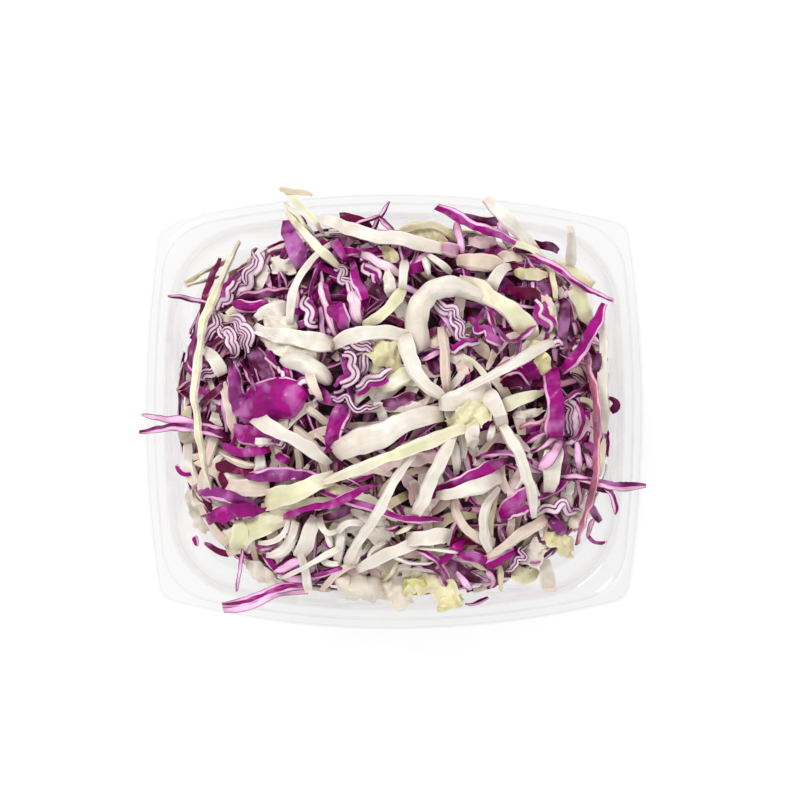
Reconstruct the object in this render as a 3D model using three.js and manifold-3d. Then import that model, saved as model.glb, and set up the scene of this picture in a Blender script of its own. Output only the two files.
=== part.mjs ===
// A clear thermoformed tub, rectangular with bowed sides, heaped with shredded red and white cabbage.
// Millimetres, +Z up. The origin is the middle of the tub's flat base, and +X runs along the longer side.
import * as THREE from "three";
import { mergeVertices } from "three/addons/utils/BufferGeometryUtils.js";
import Module from "manifold-3d";

// ---- Tub: overall size and the flange ----
const TUB_LENGTH = 184; // X, over the lip at the middle of the sides
const TUB_WIDTH = 161; // Y
const TUB_HEIGHT = 52; // top of the bead
const WALL = 0.8;
const SIDE_RADIUS_X = 440; // bow of the left and right sides at the lip
const SIDE_RADIUS_Y = 340; // bow of the two long sides
const LIP_CORNER = 7;
const LIP_DROP = 3.6;
const BEAD_INSET = 3.6; // middle of the raised bead, in from the lip
const BEAD_HALF = 1.1;
const BEAD_TOP_HALF = 0.45;
const BEAD_RISE = 0.9;
const BEAD_CORNER = 21;
const LIP_EDGE = 0.8; // chamfer along the lip's upper edge
const OPENING_INSET = 7.6;
const OPENING_CORNER = 32;
const OPENING_EDGE = 1; // chamfer where the wall meets the flange

// ---- Tub: wall below the flange ----
const SHOULDER_DROP = 11.5; // stacking shoulder, below the rim
const SHOULDER_STEP = 1.4; // its height
const SHOULDER_LEDGE = 1.5; // how far it steps in
const UPPER_DRAFT = 0.9; // lean of the wall between shoulder and flange
const FOOT_INSET = 12.4; // where the wall meets the foot radius
const FOOT_RADIUS = 4;
const FOOT_CORNER = 24;
const FOOT_BEND = 0.3; // share of the foot radius at which its one bend lies
const POINTS_PER_ARC = 2; // half a side
const POINTS_PER_CORNER = 5;

// ---- Heap of cabbage ----
const EDGE_LEVEL = 42; // heap surface where it meets the middle of a wall
const CROWN_LEVEL = 68; // top of the heap
const HEAP_HALF_X = 84; // the plan shape that the level follows
const HEAP_HALF_Y = 73;
const HEAP_POWER = 2.3;
const DOME_POWER = 2.2;
const LUMP = 1.2; // height and length of the heap's broad lumps
const LUMP_LENGTH = 8;
const CORE_SINK = 1.3; // how far the core lies under the heap's surface
const LAYER = 2.3; // rise of one layer of strips over the next
const END_SINK = 1.5; // how far strip ends dip under the surface
const CLEARANCE = 0.35; // air between cabbage and tub
const CORE_GAP = 1; // bare core to the tub's wall and floor
const CORE_CORNER = 58; // rounder than the tub's, so the corners stay free
const CORE_SHOULDER = 24; // lowest level of the dome's edge
const CORE_TAPER = 0.9; // lean of the core's side, up to the shoulder and again up to the dome
const CORE_SHARES = [1, 0.94, 0.82, 0.66, 0.48, 0.28]; // rings of the dome, as shares of the wall's outline
const OPENING_POWER = 6; // superellipse close to the opening's outline
const OVER_RIM = 0.9; // more air under strips that lie over the rim
const RIM_LEAN_START = 3.5; // a strip that crosses the rim starts to drop this far inside it
const RIM_LEAN = 2; // and falls this much for each millimetre further in
const TAPER_RATE = 1.6; // a strip is at full width over the middle part of its run
const STEP_LENGTH = 9;
const RIM_STEP_LENGTH = 3;
const STEPS_PER_BOW = 0.35;
const FEWEST_STEPS = 2;
const MOST_STEPS = 10;
const SCATTER_NEAREST = 0.6; // shares of the heap's half extents
const SCATTER_FARTHEST = 0.95;
const SCATTER_SHORTEST = 12;
const SCATTER_LONGEST = 32;
const SCATTER_BOW = 5;
const SCATTER_LAYERS = 2;
const SCATTERED_STRIPS = 9;
const SEED = 4117;

// Free space beside the heap in three corners of the tub, from just above the floor up: the distances of its
// near and far edges from the middle, its lowest level and the corners it is in.
const CORNER_SPACE = { near: [64, 50], far: [70.8, 55.8], low: 6, signs: [[-1, 1], [-1, -1], [1, -1]] };
const SKY = 120; // above everything
const MERGE_WITHIN = 1e-4; // points closer than this are one

// A strip that crosses what is kept clear is tried again, lifted by these and then at these shares
// of its length.
const FITTED_LIFTS = [0, 1, 2, 3.5];
const FITTED_LENGTHS = [1, 0.8, 0.6];

// Sizes of each kind of strip: usual width, depth and the share of width left at its ends.
const KINDS = {
  rib: { wide: 4.6, deep: 2.6, tip: 0.8 },
  pale: { wide: 4.2, deep: 1.7, tip: 0.6 },
  leaf: { wide: 3.4, deep: 1.3, tip: 0.6 },
  slice: { wide: 4.4, deep: 2.4, tip: 0.75 },
  cream: { wide: 6, deep: 1.7, tip: 0.6 },
};

// Strips that show, placed by hand: kind, plan position of both ends, then the bow to the left at the middle,
// the sway of an S, width, roll about its own run in degrees, share of width at its ends and layer.
const SHOWN = [
  // Left side, top corner down
  ["pale", -57, 63, -67, -29, { bow: -10, wide: 3, tip: 0.4, level: 4 }],
  ["leaf", -65, 57, -72, 33, { wide: 2.9, roll: 20, level: 3 }],
  ["slice", -51, 60, -58, 44, { bow: 3, wide: 5, level: 2 }],
  ["slice", -58, 50, -66, 37.5, { bow: 1, wide: 4.6, level: 2 }],
  ["slice", -63, 33, -54.5, 20, { bow: 5, wide: 6, level: 2 }],
  ["leaf", -57.5, 41.5, -37.5, 44.5, { wide: 3.6, roll: 25, level: 2 }],
  ["leaf", -59, 39, -46.5, 40, { bow: -1.5, wide: 4.8, level: 2 }],
  ["rib", -23, 62, -38, 32, { bow: -4, wide: 2.8, level: 4 }],
  ["cream", -49, 45, -50, 58, { wide: 6, level: 0 }],
  ["cream", -45.5, 55, -36, 52, { wide: 7, level: 0 }],
  ["rib", -50.5, 34.5, -39.5, 39, { wide: 5, level: 2 }],
  ["rib", -50, 30, -22, 24.5, { bow: -1.5, wide: 5, level: 3 }],
  ["cream", -48.5, 27, -28, 18, { wide: 6.5, level: 2 }],
  ["rib", -39, 14.5, -25, 12.5, { bow: 4, wide: 8, level: 2 }],
  ["leaf", -51, 22.5, -44, 10, { wide: 5.4, level: 1 }],
  ["rib", -62.5, 10, -58, -7.5, { wide: 3.8, level: 2 }],
  ["leaf", -59, 16.5, -55, -2.5, { wide: 5.6, level: 2 }],
  ["leaf", -92.5, -1, -63, -6, { wide: 3, tip: 0.4, roll: 20, level: 3 }],
  ["leaf", -93.5, -7, -62, -8.5, { bow: 1.5, wide: 3, tip: 0.4, roll: 20, level: 3 }],
  ["leaf", -62.5, -12.5, -45.5, -13.5, { bow: -1.5, wide: 3.6, level: 3 }],
  ["leaf", -58, -7, -42.5, -11, { wide: 5.6, level: 2 }],
  ["leaf", -65, -20, -51, -22, { wide: 4.8, level: 1 }],
  ["rib", -61, -27.5, -45.5, -27.5, { wide: 7, level: 1 }],
  ["leaf", -54, -23, -24, -24.5, { bow: 1, wide: 4.8, level: 3 }],
  ["leaf", -72, -30.5, -50, -35, { bow: 1.5, wide: 3.4, level: 2 }],
  ["leaf", -70.5, -40.5, -45.5, -35, { bow: 1, wide: 4.8, roll: 20, level: 2 }],
  ["pale", -37.5, -37, -63, -50, { bow: -1, wide: 9, level: 1 }],
  ["pale", -56.5, -40.5, -58, -51, { wide: 6, level: 1 }],
  ["leaf", -63, -71.5, -31.5, -65.5, { bow: 1, sway: -1, wide: 4.8, roll: -25, level: 3 }],
  // Lower left and the bottom
  ["rib", -35.5, -40.5, -46.5, -53, { bow: 3, wide: 4, level: 2 }],
  ["cream", -55.5, -55.5, -37.5, -66.5, { bow: -1, wide: 5, level: 0 }],
  ["rib", -28.5, -39, -34.5, -53, { wide: 5.6, level: 2 }],
  ["rib", -34.5, -57, -17.5, -47.5, { wide: 3, level: 3 }],
  ["rib", -27, -65.5, 4, -49.5, { bow: -1, wide: 4.4, level: 2 }],
  ["rib", -17.5, -40, -19.5, -56, { wide: 4.4, level: 2 }],
  ["cream", -9, -40, -1, -47, { wide: 8, level: 1 }],
  ["cream", -16, -60, -9, -70, { wide: 9, level: 0 }],
  ["cream", -5, -65.5, 4, -71, { wide: 8, level: 0 }],
  ["pale", 11.5, -65.5, 20.5, -71, { wide: 7, level: 0 }],
  ["cream", 46.5, -54.5, 55.5, -50.5, { wide: 8, level: 1 }],
  ["cream", 55.5, -45.5, 66.5, -52, { wide: 7, level: 1 }],
  ["cream", 43.5, -60, 54, -61, { wide: 6, level: 0 }],
  // Top edge
  ["pale", -42, 82, -26, 66, { bow: 1, wide: 2.6, tip: 0.4, level: 2 }],
  ["pale", -39.5, 72.5, -21, 53, { wide: 3.2, level: 4 }],
  ["leaf", -40, 70, -34, 52.5, { wide: 6.5, roll: 10, tip: 0.4, level: 3 }],
  ["rib", -26.5, 70, 18, 60, { bow: -1, wide: 5, level: 4 }],
  ["pale", 2, 66, 23, 63, { bow: 4, wide: 3.4, level: 2 }],
  ["leaf", 15.5, 75, 47, 61, { wide: 3.5, roll: 25, level: 4 }],
  ["rib", 33.5, 78, 52, 60, { wide: 5, level: 3 }],
  ["pale", 58, 55, 74, 47.5, { wide: 5, level: 0 }],
  ["pale", 65.5, 45.5, 73, 33, { wide: 6.5, level: 1 }],
  ["leaf", 50, 57.5, 80, 40, { wide: 2.9, roll: 30, level: 5 }],
  // Upper right
  ["leaf", 78, 39.5, 62, 14.5, { bow: 1, wide: 4.6, roll: 15, level: 4 }],
  ["rib", 77, 36, 77, -7.5, { wide: 3.9, level: 2 }],
  ["leaf", 61.5, 41, 63, 26.5, { wide: 4.2, level: 1 }],
  ["rib", 23.5, 55, 41, 52, { bow: 1, wide: 6, level: 3 }],
  ["pale", 25, 48, 51, 27, { bow: 2, wide: 7, level: 3 }],
  ["slice", 51.5, 41, 57, 29.5, { wide: 5, level: 2 }],
  ["pale", 3, 44.5, -11, 31.5, { bow: 2, wide: 4.4, level: 4 }],
  ["rib", 9, 23.5, 32.5, 41.5, { bow: 14, wide: 8, level: 3 }],
  // Upper middle
  ["rib", -21.5, 24, 5, 27, { bow: 3, wide: 5.2, level: 4 }],
  ["rib", 3.5, 28, 19, 4, { bow: -3.5, wide: 5.4, level: 4 }],
  ["rib", -26.5, 47, -19.5, 27, { bow: -1, wide: 3.6, level: 3 }],
  ["leaf", -15.5, 55, -11, 40, { wide: 3.9, level: 3 }],
  ["slice", -20.5, 53, -13, 39.5, { wide: 3.8, level: 2 }],
  ["slice", -33, 42.5, -28, 30, { wide: 4.6, level: 2 }],
  ["leaf", -12, 58, 2, 50, { wide: 3.6, level: 2 }],
  ["rib", -15, 44, -12, 32, { wide: 5, level: 2 }],
  ["slice", 14, 39, 24.5, 30, { bow: 2, wide: 4.6, level: 1 }],
  ["cream", 20.5, 21, 28, 14.5, { wide: 6, level: 0 }],
  ["rib", 17.5, 30, 19, 7, { wide: 3.7, level: 3 }],
  // Middle
  ["slice", -20, 25, -7, 22.5, { bow: 1, wide: 5, level: 3 }],
  ["slice", -19, 22, -22, 8.5, { bow: 6, wide: 5, level: 3 }],
  ["slice", -15.5, 7, -0.5, 14, { wide: 4.6, level: 3 }],
  ["cream", -9, 22.5, 2.5, 18.5, { wide: 10, level: 2 }],
  ["pale", 6.5, 15, -4.5, 7.5, { wide: 5.6, level: 2 }],
  ["leaf", -4.5, 3.5, 8, 5, { wide: 5, level: 1 }],
  ["leaf", -51, 2, -31, 7, { wide: 9.5, roll: 12, level: 3 }],
  ["leaf", -18, 2.5, -23, -14, { wide: 5.6, level: 3 }],
  ["rib", -51, -2, -23.5, -18.5, { bow: 1, wide: 5, level: 5 }],
  ["rib", -20.5, -15, 17, 0, { bow: 1, wide: 8.6, level: 3 }],
  ["pale", -46.5, -32.5, -25.5, -26, { wide: 7.4, level: 3 }],
  ["pale", -27, -26, 28, -4.5, { wide: 4.2, level: 5 }],
  ["rib", 17, 3, 34.5, 8.5, { wide: 7, level: 4 }],
  ["cream", 19.5, -5, 35.5, 3.5, { wide: 10, level: 4 }],
  ["rib", 33, 7, 39, -6, { bow: 1, wide: 6, level: 4 }],
  // Right side
  ["rib", 23, 6.5, 58, 25.5, { wide: 3.5, level: 5 }],
  ["cream", 50, 24, 57, 14.5, { wide: 6.5, level: 2 }],
  ["pale", 38, 1.5, 54, 7, { wide: 4.4, level: 2 }],
  ["leaf", 57, 15, 58.5, -9.5, { wide: 5.4, roll: 8, tip: 0.9, level: 5 }],
  ["rib", 58, -14, 57, -29, { wide: 6.6, level: 2 }],
  ["leaf", 70, 23.5, 67.5, -49.5, { bow: 5.5, wide: 2.6, roll: 40, level: 5 }],
  ["slice", 62.5, 5, 63, -10.5, { bow: 3, wide: 5, level: 2 }],
  ["leaf", 66, -25.5, 92.5, -28, { wide: 3, tip: 0.4, roll: 15, level: 4 }],
  ["leaf", 48.5, -28, 39, -38.5, { wide: 5.4, level: 2 }],
  // Lower middle
  ["leaf", 11.5, -30.5, 40.5, -17.5, { wide: 4.6, roll: 20, level: 3 }],
  ["rib", 38.5, -4.5, 51, -38.5, { bow: 2.5, wide: 4.1, level: 5 }],
  ["rib", 15.5, -30, 38, -24, { bow: -1, wide: 5.2, level: 3 }],
  ["rib", 38, -28, 35, -51, { bow: -4, wide: 3.6, level: 3 }],
  ["rib", 21.5, -32.5, 36, -48.5, { bow: -3, wide: 3.8, level: 2 }],
  ["rib", 55, -39.5, 34, -54, { wide: 4.2, level: 2 }],
  ["rib", 21.5, -7.5, 7.5, -37.5, { wide: 4.8, tip: 0.7, level: 5 }],
  ["rib", 7, -14, -17.5, -55.5, { wide: 3.6, level: 5 }],
  ["leaf", -6, -26.5, -40, -38.5, { wide: 3.2, roll: 20, level: 5 }],
  ["leaf", -26.5, -28, 17.5, -40, { bow: -2, wide: 2.9, level: 4 }],
  ["rib", 5, -46, 20, -45.5, { wide: 5.4, tip: 1, level: 3 }],
];

// ---- Small helpers ----
const radians = (degrees) => (degrees * Math.PI) / 180;
const mix = (a, b, share) => a + (b - a) * share;

function seededRandom(seed) {
  let state = seed >>> 0;
  return () => {
    state = (Math.imul(state, 1664525) + 1013904223) >>> 0;
    return state / 4294967296;
  };
}

function geometryFrom(points, triangles) {
  const geometry = new THREE.BufferGeometry();
  geometry.setAttribute("position", new THREE.Float32BufferAttribute(points.flat(), 3));
  geometry.setIndex(triangles.flat());
  return geometry;
}

const wasm = await Module();
wasm.setup();

function solidFrom(geometry) {
  const merged = mergeVertices(geometry, MERGE_WITHIN);
  return new wasm.Manifold(
    new wasm.Mesh({
      numProp: 3,
      vertProperties: new Float32Array(merged.attributes.position.array),
      triVerts: new Uint32Array(merged.index.array),
    }),
  );
}

function geometryOf(solid) {
  const mesh = solid.getMesh();
  const geometry = new THREE.BufferGeometry();
  const places = new Float32Array(mesh.numVert * 3);
  for (let i = 0; i < mesh.numVert; i++) {
    places.set(mesh.vertProperties.subarray(i * mesh.numProp, i * mesh.numProp + 3), i * 3);
  }
  geometry.setAttribute("position", new THREE.BufferAttribute(places, 3));
  geometry.setIndex(new THREE.BufferAttribute(new Uint32Array(mesh.triVerts), 1));
  geometry.computeVertexNormals();
  return geometry;
}

// ---- The bowed rectangle ----
// Outline of a rectangle whose sides are arcs, with a corner circle tangent to both, set in from the lip.
function bowedOutline(inset, corner) {
  const halfX = TUB_LENGTH / 2 - inset;
  const halfY = TUB_WIDTH / 2 - inset;
  const radiusX = SIDE_RADIUS_X - inset;
  const radiusY = SIDE_RADIUS_Y - inset;
  const sideMiddle = [halfX - radiusX, 0];
  const topMiddle = [0, halfY - radiusY];
  const middle = cornerMiddle(sideMiddle, radiusX - corner, topMiddle, radiusY - corner);
  const sideEnd = Math.atan2(middle[1] - sideMiddle[1], middle[0] - sideMiddle[0]);
  const topEnd = Math.atan2(middle[1] - topMiddle[1], middle[0] - topMiddle[0]);
  const arc = (centre, radius, from, to, steps) =>
    Array.from({ length: steps }, (_, i) => {
      const angle = mix(from, to, i / steps);
      return [centre[0] + radius * Math.cos(angle), centre[1] + radius * Math.sin(angle)];
    });
  const quarter = [
    ...arc(sideMiddle, radiusX, 0, sideEnd, POINTS_PER_ARC),
    ...arc(middle, corner, sideEnd, topEnd, POINTS_PER_CORNER),
    ...arc(topMiddle, radiusY, topEnd, Math.PI / 2, POINTS_PER_ARC + 1),
  ];
  const second = [[0, halfY], ...quarter.slice(1).reverse().map(([x, y]) => [-x, y])];
  const upper = [...quarter, ...second];
  return [...upper, ...upper.map(([x, y]) => [-x, -y])];
}

// The point inside both arcs at the given distances from their two centres.
function cornerMiddle(a, reachA, b, reachB) {
  const span = Math.hypot(b[0] - a[0], b[1] - a[1]);
  const along = (reachA ** 2 - reachB ** 2 + span ** 2) / (2 * span);
  const across = Math.sqrt(reachA ** 2 - along ** 2);
  const direction = [(b[0] - a[0]) / span, (b[1] - a[1]) / span];
  const choices = [1, -1].map((side) => [
    a[0] + along * direction[0] - side * across * direction[1],
    a[1] + along * direction[1] + side * across * direction[0],
  ]);
  return choices.find(([x, y]) => x > 0 && y > 0);
}

// A closed body lofted through stacked outlines, from a flat first ring to a flat last one.
function loftGeometry(rings, firstMiddle, lastMiddle) {
  const count = rings[0].length;
  const points = [...rings.flat(), firstMiddle, lastMiddle];
  const first = rings.length * count;
  const last = first + 1;
  const triangles = [];
  for (let side = 0; side < count; side++) {
    const next = (side + 1) % count;
    triangles.push([first, next, side]);
    triangles.push([last, (rings.length - 1) * count + side, (rings.length - 1) * count + next]);
    for (let ring = 0; ring + 1 < rings.length; ring++) {
      const low = ring * count;
      const high = low + count;
      triangles.push([low + side, low + next, high + next]);
      triangles.push([low + side, high + next, high + side]);
    }
  }
  return geometryFrom(points, triangles);
}

// ---- Tub ----
// Upper face of the sheet from the floor out to the lip's edge, as inset, corner radius and level.
function sheetProfile() {
  const rim = TUB_HEIGHT;
  const flange = rim - BEAD_RISE;
  const shoulder = rim - SHOULDER_DROP;
  const bend = FOOT_RADIUS * FOOT_BEND;
  return [
    [FOOT_INSET + FOOT_RADIUS, FOOT_CORNER, WALL],
    [FOOT_INSET + bend, FOOT_CORNER, WALL + bend],
    [FOOT_INSET, FOOT_CORNER, WALL + FOOT_RADIUS],
    [OPENING_INSET + UPPER_DRAFT + SHOULDER_LEDGE, OPENING_CORNER, shoulder - SHOULDER_STEP],
    [OPENING_INSET + UPPER_DRAFT, OPENING_CORNER, shoulder],
    [OPENING_INSET, OPENING_CORNER, flange - OPENING_EDGE],
    [OPENING_INSET - OPENING_EDGE, OPENING_CORNER, flange],
    [BEAD_INSET + BEAD_HALF, BEAD_CORNER, flange],
    [BEAD_INSET + BEAD_TOP_HALF, BEAD_CORNER, rim],
    [BEAD_INSET - BEAD_TOP_HALF, BEAD_CORNER, rim],
    [BEAD_INSET - BEAD_HALF, BEAD_CORNER, flange],
    [LIP_EDGE, LIP_CORNER, flange],
    [0, LIP_CORNER, flange - LIP_EDGE],
    [0, LIP_CORNER, flange - LIP_DROP],
  ];
}

// Moves each point of the profile square to the sheet, downwards and outwards by the given distance.
function offsetProfile(profile, distance) {
  return profile.map(([inset, corner, level], i) => {
    const before = profile[Math.max(i - 1, 0)];
    const after = profile[Math.min(i + 1, profile.length - 1)];
    const run = i === 0 ? [-1, 0] : [after[0] - before[0], after[2] - before[2]];
    const length = Math.hypot(run[0], run[1]);
    const normal = [-run[1] / length, run[0] / length];
    return [inset + distance * normal[0], corner, level + distance * normal[1]];
  });
}

function sheetSolid(aboveBy, belowBy) {
  const profile = sheetProfile();
  const upper = offsetProfile(profile, aboveBy);
  const lower = offsetProfile(profile, belowBy);
  const ringAt = ([inset, corner, level]) => bowedOutline(inset, corner).map(([x, y]) => [x, y, level]);
  const rings = [...lower, ...upper.reverse()].map(ringAt);
  return solidFrom(loftGeometry(rings, [0, 0, rings[0][0][2]], [0, 0, rings.at(-1)[0][2]]));
}

// ---- Surface of the heap ----
// How far out a point is, from 0 in the middle to 1 where the heap meets the middle of a wall.
function heapReach(x, y) {
  const power = Math.abs(x / HEAP_HALF_X) ** HEAP_POWER + Math.abs(y / HEAP_HALF_Y) ** HEAP_POWER;
  return power ** (1 / HEAP_POWER);
}

function heapLevel(x, y) {
  const dome = (CROWN_LEVEL - EDGE_LEVEL) * (1 - heapReach(x, y) ** DOME_POWER);
  const lumps = Math.sin(x / LUMP_LENGTH) * Math.cos(y / LUMP_LENGTH);
  return EDGE_LEVEL + dome + LUMP * lumps;
}

// Lowest level at which something of this half depth clears the rim: over it outside the opening,
// and sloping down inside it.
function rimLevel(x, y, halfDepth) {
  const openingX = TUB_LENGTH / 2 - OPENING_INSET;
  const openingY = TUB_WIDTH / 2 - OPENING_INSET;
  const power = Math.abs(x / openingX) ** OPENING_POWER + Math.abs(y / openingY) ** OPENING_POWER;
  const reach = power ** (1 / OPENING_POWER);
  const inside = (1 - reach) * openingY;
  const lean = Math.max(0, inside - RIM_LEAN_START) * RIM_LEAN;
  return TUB_HEIGHT + CLEARANCE + OVER_RIM + halfDepth - lean;
}

// ---- One strip ----
// A strip runs from one end to the other in plan, bowed to its left, over the heap and down into it.
function stripPath(strip) {
  const [startX, startY, endX, endY] = strip.ends;
  const chord = Math.hypot(endX - startX, endY - startY);
  const left = [-(endY - startY) / chord, (endX - startX) / chord];
  const overRim = Math.max(rimLevel(startX, startY, 0), rimLevel(endX, endY, 0)) > TUB_HEIGHT;
  const stepLength = overRim ? RIM_STEP_LENGTH : STEP_LENGTH;
  const turns = Math.ceil(Math.abs(strip.bow) * STEPS_PER_BOW + chord / stepLength);
  const steps = Math.min(Math.max(turns, FEWEST_STEPS), MOST_STEPS);
  const halfDepth = stripHalfDepth(strip);
  return Array.from({ length: steps + 1 }, (_, i) => {
    const share = i / steps;
    const aside = strip.bow * 4 * share * (1 - share) + strip.sway * Math.sin(2 * Math.PI * share);
    const x = mix(startX, endX, share) + aside * left[0];
    const y = mix(startY, endY, share) + aside * left[1];
    const arch = Math.sqrt(Math.sin(Math.PI * share));
    const lying = heapLevel(x, y) - END_SINK + (strip.level * LAYER + END_SINK) * arch;
    return new THREE.Vector3(x, y, Math.max(lying, rimLevel(x, y, halfDepth)) + strip.lift);
  });
}

function stripHalfDepth({ wide, deep, roll }) {
  const angle = radians(roll);
  return (Math.abs(wide * Math.sin(angle)) + Math.abs(deep * Math.cos(angle))) / 2;
}

// Four-sided section swept along the path. The broad faces are split into triangles alike.
function stripGeometry(strip) {
  const path = stripPath(strip);
  const last = path.length - 1;
  const points = [];
  const triangles = [];
  path.forEach((place, i) => {
    const ahead = path[Math.min(i + 1, last)].clone().sub(path[Math.max(i - 1, 0)]).normalize();
    const across = new THREE.Vector3(-ahead.y, ahead.x, 0).normalize();
    across.applyAxisAngle(ahead, radians(strip.roll));
    const up = ahead.clone().cross(across);
    const share = i / last;
    const taper = mix(strip.tip, 1, Math.min(1, Math.sin(Math.PI * share) * TAPER_RATE));
    const corners = [[1, 1], [-1, 1], [-1, -1], [1, -1]];
    for (const [side, face] of corners) {
      const corner = place.clone();
      corner.addScaledVector(across, (side * strip.wide * taper) / 2);
      corner.addScaledVector(up, (face * strip.deep) / 2);
      points.push(corner.toArray());
    }
  });
  for (let i = 0; i < last; i++) {
    const near = 4 * i;
    const far = near + 4;
    triangles.push([near, near + 1, far + 1], [near, far + 1, far]);
    triangles.push([near + 3, far + 2, near + 2], [near + 3, far + 3, far + 2]);
    triangles.push([near + 1, near + 2, far + 2], [near + 1, far + 2, far + 1]);
    triangles.push([near + 3, near, far], [near + 3, far, far + 3]);
  }
  const end = 4 * last;
  triangles.push([0, 2, 1], [0, 3, 2], [end, end + 1, end + 2], [end, end + 2, end + 3]);
  return geometryFrom(points, triangles);
}

function makeStrip(kind, ends, changes) {
  return { ends, bow: 0, sway: 0, roll: 0, level: 1, lift: 0, ...KINDS[kind], ...changes };
}

// Strips strewn over the heap between those placed by hand.
function scatteredStrips(random) {
  const kinds = Object.keys(KINDS);
  return Array.from({ length: SCATTERED_STRIPS }, () => {
    const bearing = random() * 2 * Math.PI;
    const outward = mix(SCATTER_NEAREST, SCATTER_FARTHEST, random());
    const x = HEAP_HALF_X * outward * Math.cos(bearing);
    const y = HEAP_HALF_Y * outward * Math.sin(bearing);
    const heading = random() * Math.PI;
    const half = mix(SCATTER_SHORTEST, SCATTER_LONGEST, random()) / 2;
    const run = [half * Math.cos(heading), half * Math.sin(heading)];
    const kind = kinds[Math.floor(random() * kinds.length)];
    const ends = [x - run[0], y - run[1], x + run[0], y + run[1]];
    const bow = mix(-SCATTER_BOW, SCATTER_BOW, random());
    return makeStrip(kind, ends, { bow, level: Math.floor(random() * SCATTER_LAYERS) });
  });
}

// ---- Heap ----
// The body that carries the strips: it follows the tub's wall from the floor up, and domes over it.
function coreSolid() {
  const bend = FOOT_RADIUS * FOOT_BEND;
  const walls = [
    [FOOT_INSET + FOOT_RADIUS, CORE_CORNER, WALL + CORE_GAP],
    [FOOT_INSET + CORE_GAP + bend, CORE_CORNER, WALL + CORE_GAP + bend],
    [FOOT_INSET + CORE_GAP, CORE_CORNER, WALL + CORE_GAP + FOOT_RADIUS],
    [FOOT_INSET + CORE_GAP - CORE_TAPER, CORE_CORNER, CORE_SHOULDER],
  ];
  const rings = walls.map(([inset, corner, level]) =>
    bowedOutline(inset, corner).map(([x, y]) => [x, y, level]),
  );
  const rimRing = bowedOutline(FOOT_INSET + CORE_GAP - 2 * CORE_TAPER, CORE_CORNER);
  for (const share of CORE_SHARES) {
    rings.push(rimRing.map(([x, y]) => domePoint(x * share, y * share)));
  }
  return solidFrom(loftGeometry(rings, [0, 0, walls[0][2]], domePoint(0, 0)));
}

function domePoint(x, y) {
  return [x, y, Math.max(heapLevel(x, y) - CORE_SINK, CORE_SHOULDER + CORE_GAP)];
}

function boxGeometry([lowX, lowY, lowZ], [highX, highY, highZ]) {
  const box = new THREE.BoxGeometry(highX - lowX, highY - lowY, highZ - lowZ);
  box.deleteAttribute("normal");
  box.deleteAttribute("uv");
  return box.translate((lowX + highX) / 2, (lowY + highY) / 2, (lowZ + highZ) / 2);
}

// Everything that a strip must stay out of: the tub with air round it, and the corners' free space
// with the way up out of it.
function keptClear() {
  const around = sheetSolid(-CLEARANCE, WALL + CLEARANCE);
  const { near, far, low, signs } = CORNER_SPACE;
  return signs.reduce((all, [signX, signY]) => {
    const cornersX = [signX * near[0], signX * far[0]].sort((a, b) => a - b);
    const cornersY = [signY * near[1], signY * far[1]].sort((a, b) => a - b);
    const space = boxGeometry([cornersX[0], cornersY[0], low], [cornersX[1], cornersY[1], SKY]);
    return all.add(solidFrom(space));
  }, around);
}

function shortened([startX, startY, endX, endY], length) {
  const middleX = (startX + endX) / 2;
  const middleY = (startY + endY) / 2;
  return [
    mix(middleX, startX, length),
    mix(middleY, startY, length),
    mix(middleX, endX, length),
    mix(middleY, endY, length),
  ];
}

// The strip itself, or else lifted, shortened or, at last, left off where it would cross what is kept clear.
function fittedStrip(strip, clear) {
  for (const length of FITTED_LENGTHS) {
    for (const lift of FITTED_LIFTS) {
      const ends = shortened(strip.ends, length);
      const solid = solidFrom(stripGeometry({ ...strip, ends, lift }));
      if (solid.intersect(clear).isEmpty()) return solid;
    }
  }
  return null;
}

function heapSolid() {
  const clear = keptClear();
  const placed = SHOWN.map(([kind, startX, startY, endX, endY, changes]) =>
    makeStrip(kind, [startX, startY, endX, endY], changes),
  );
  const strips = [...placed, ...scatteredStrips(seededRandom(SEED))];
  const joined = strips.reduce((heap, strip) => {
    const solid = fittedStrip(strip, clear);
    return solid ? heap.add(solid) : heap;
  }, coreSolid());
  return largestBody(joined);
}

// The largest body with its sealed hollows filled, without loose scraps.
function largestBody(solid) {
  const bodies = solid.decompose().filter((body) => body.volume() > 0);
  return bodies.reduce((largest, body) => (body.volume() > largest.volume() ? body : largest));
}

// ---- Assembly ----
const finishes = {
  tub: new THREE.MeshStandardMaterial({
    color: 0xf4f6f6, roughness: 0.12, metalness: 0, transparent: true, opacity: 0.3,
  }),
  cabbage: new THREE.MeshStandardMaterial({ color: 0xb890b0, roughness: 0.55, metalness: 0 }),
};

function namedMesh(name, solid) {
  const mesh = new THREE.Mesh(geometryOf(solid), finishes[name]);
  mesh.name = name;
  return mesh;
}

const part = new THREE.Group();
part.add(namedMesh("tub", sheetSolid(0, WALL)));
part.add(namedMesh("cabbage", heapSolid()));

export default part;
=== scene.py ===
"""Looks of a clear deli tub heaped with shredded red and white cabbage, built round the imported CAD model.

Sizes are in millimetres and become metres when a mesh is made. The origin is the middle of the tub's base.
"""

import math
import random
from functools import partial

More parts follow.
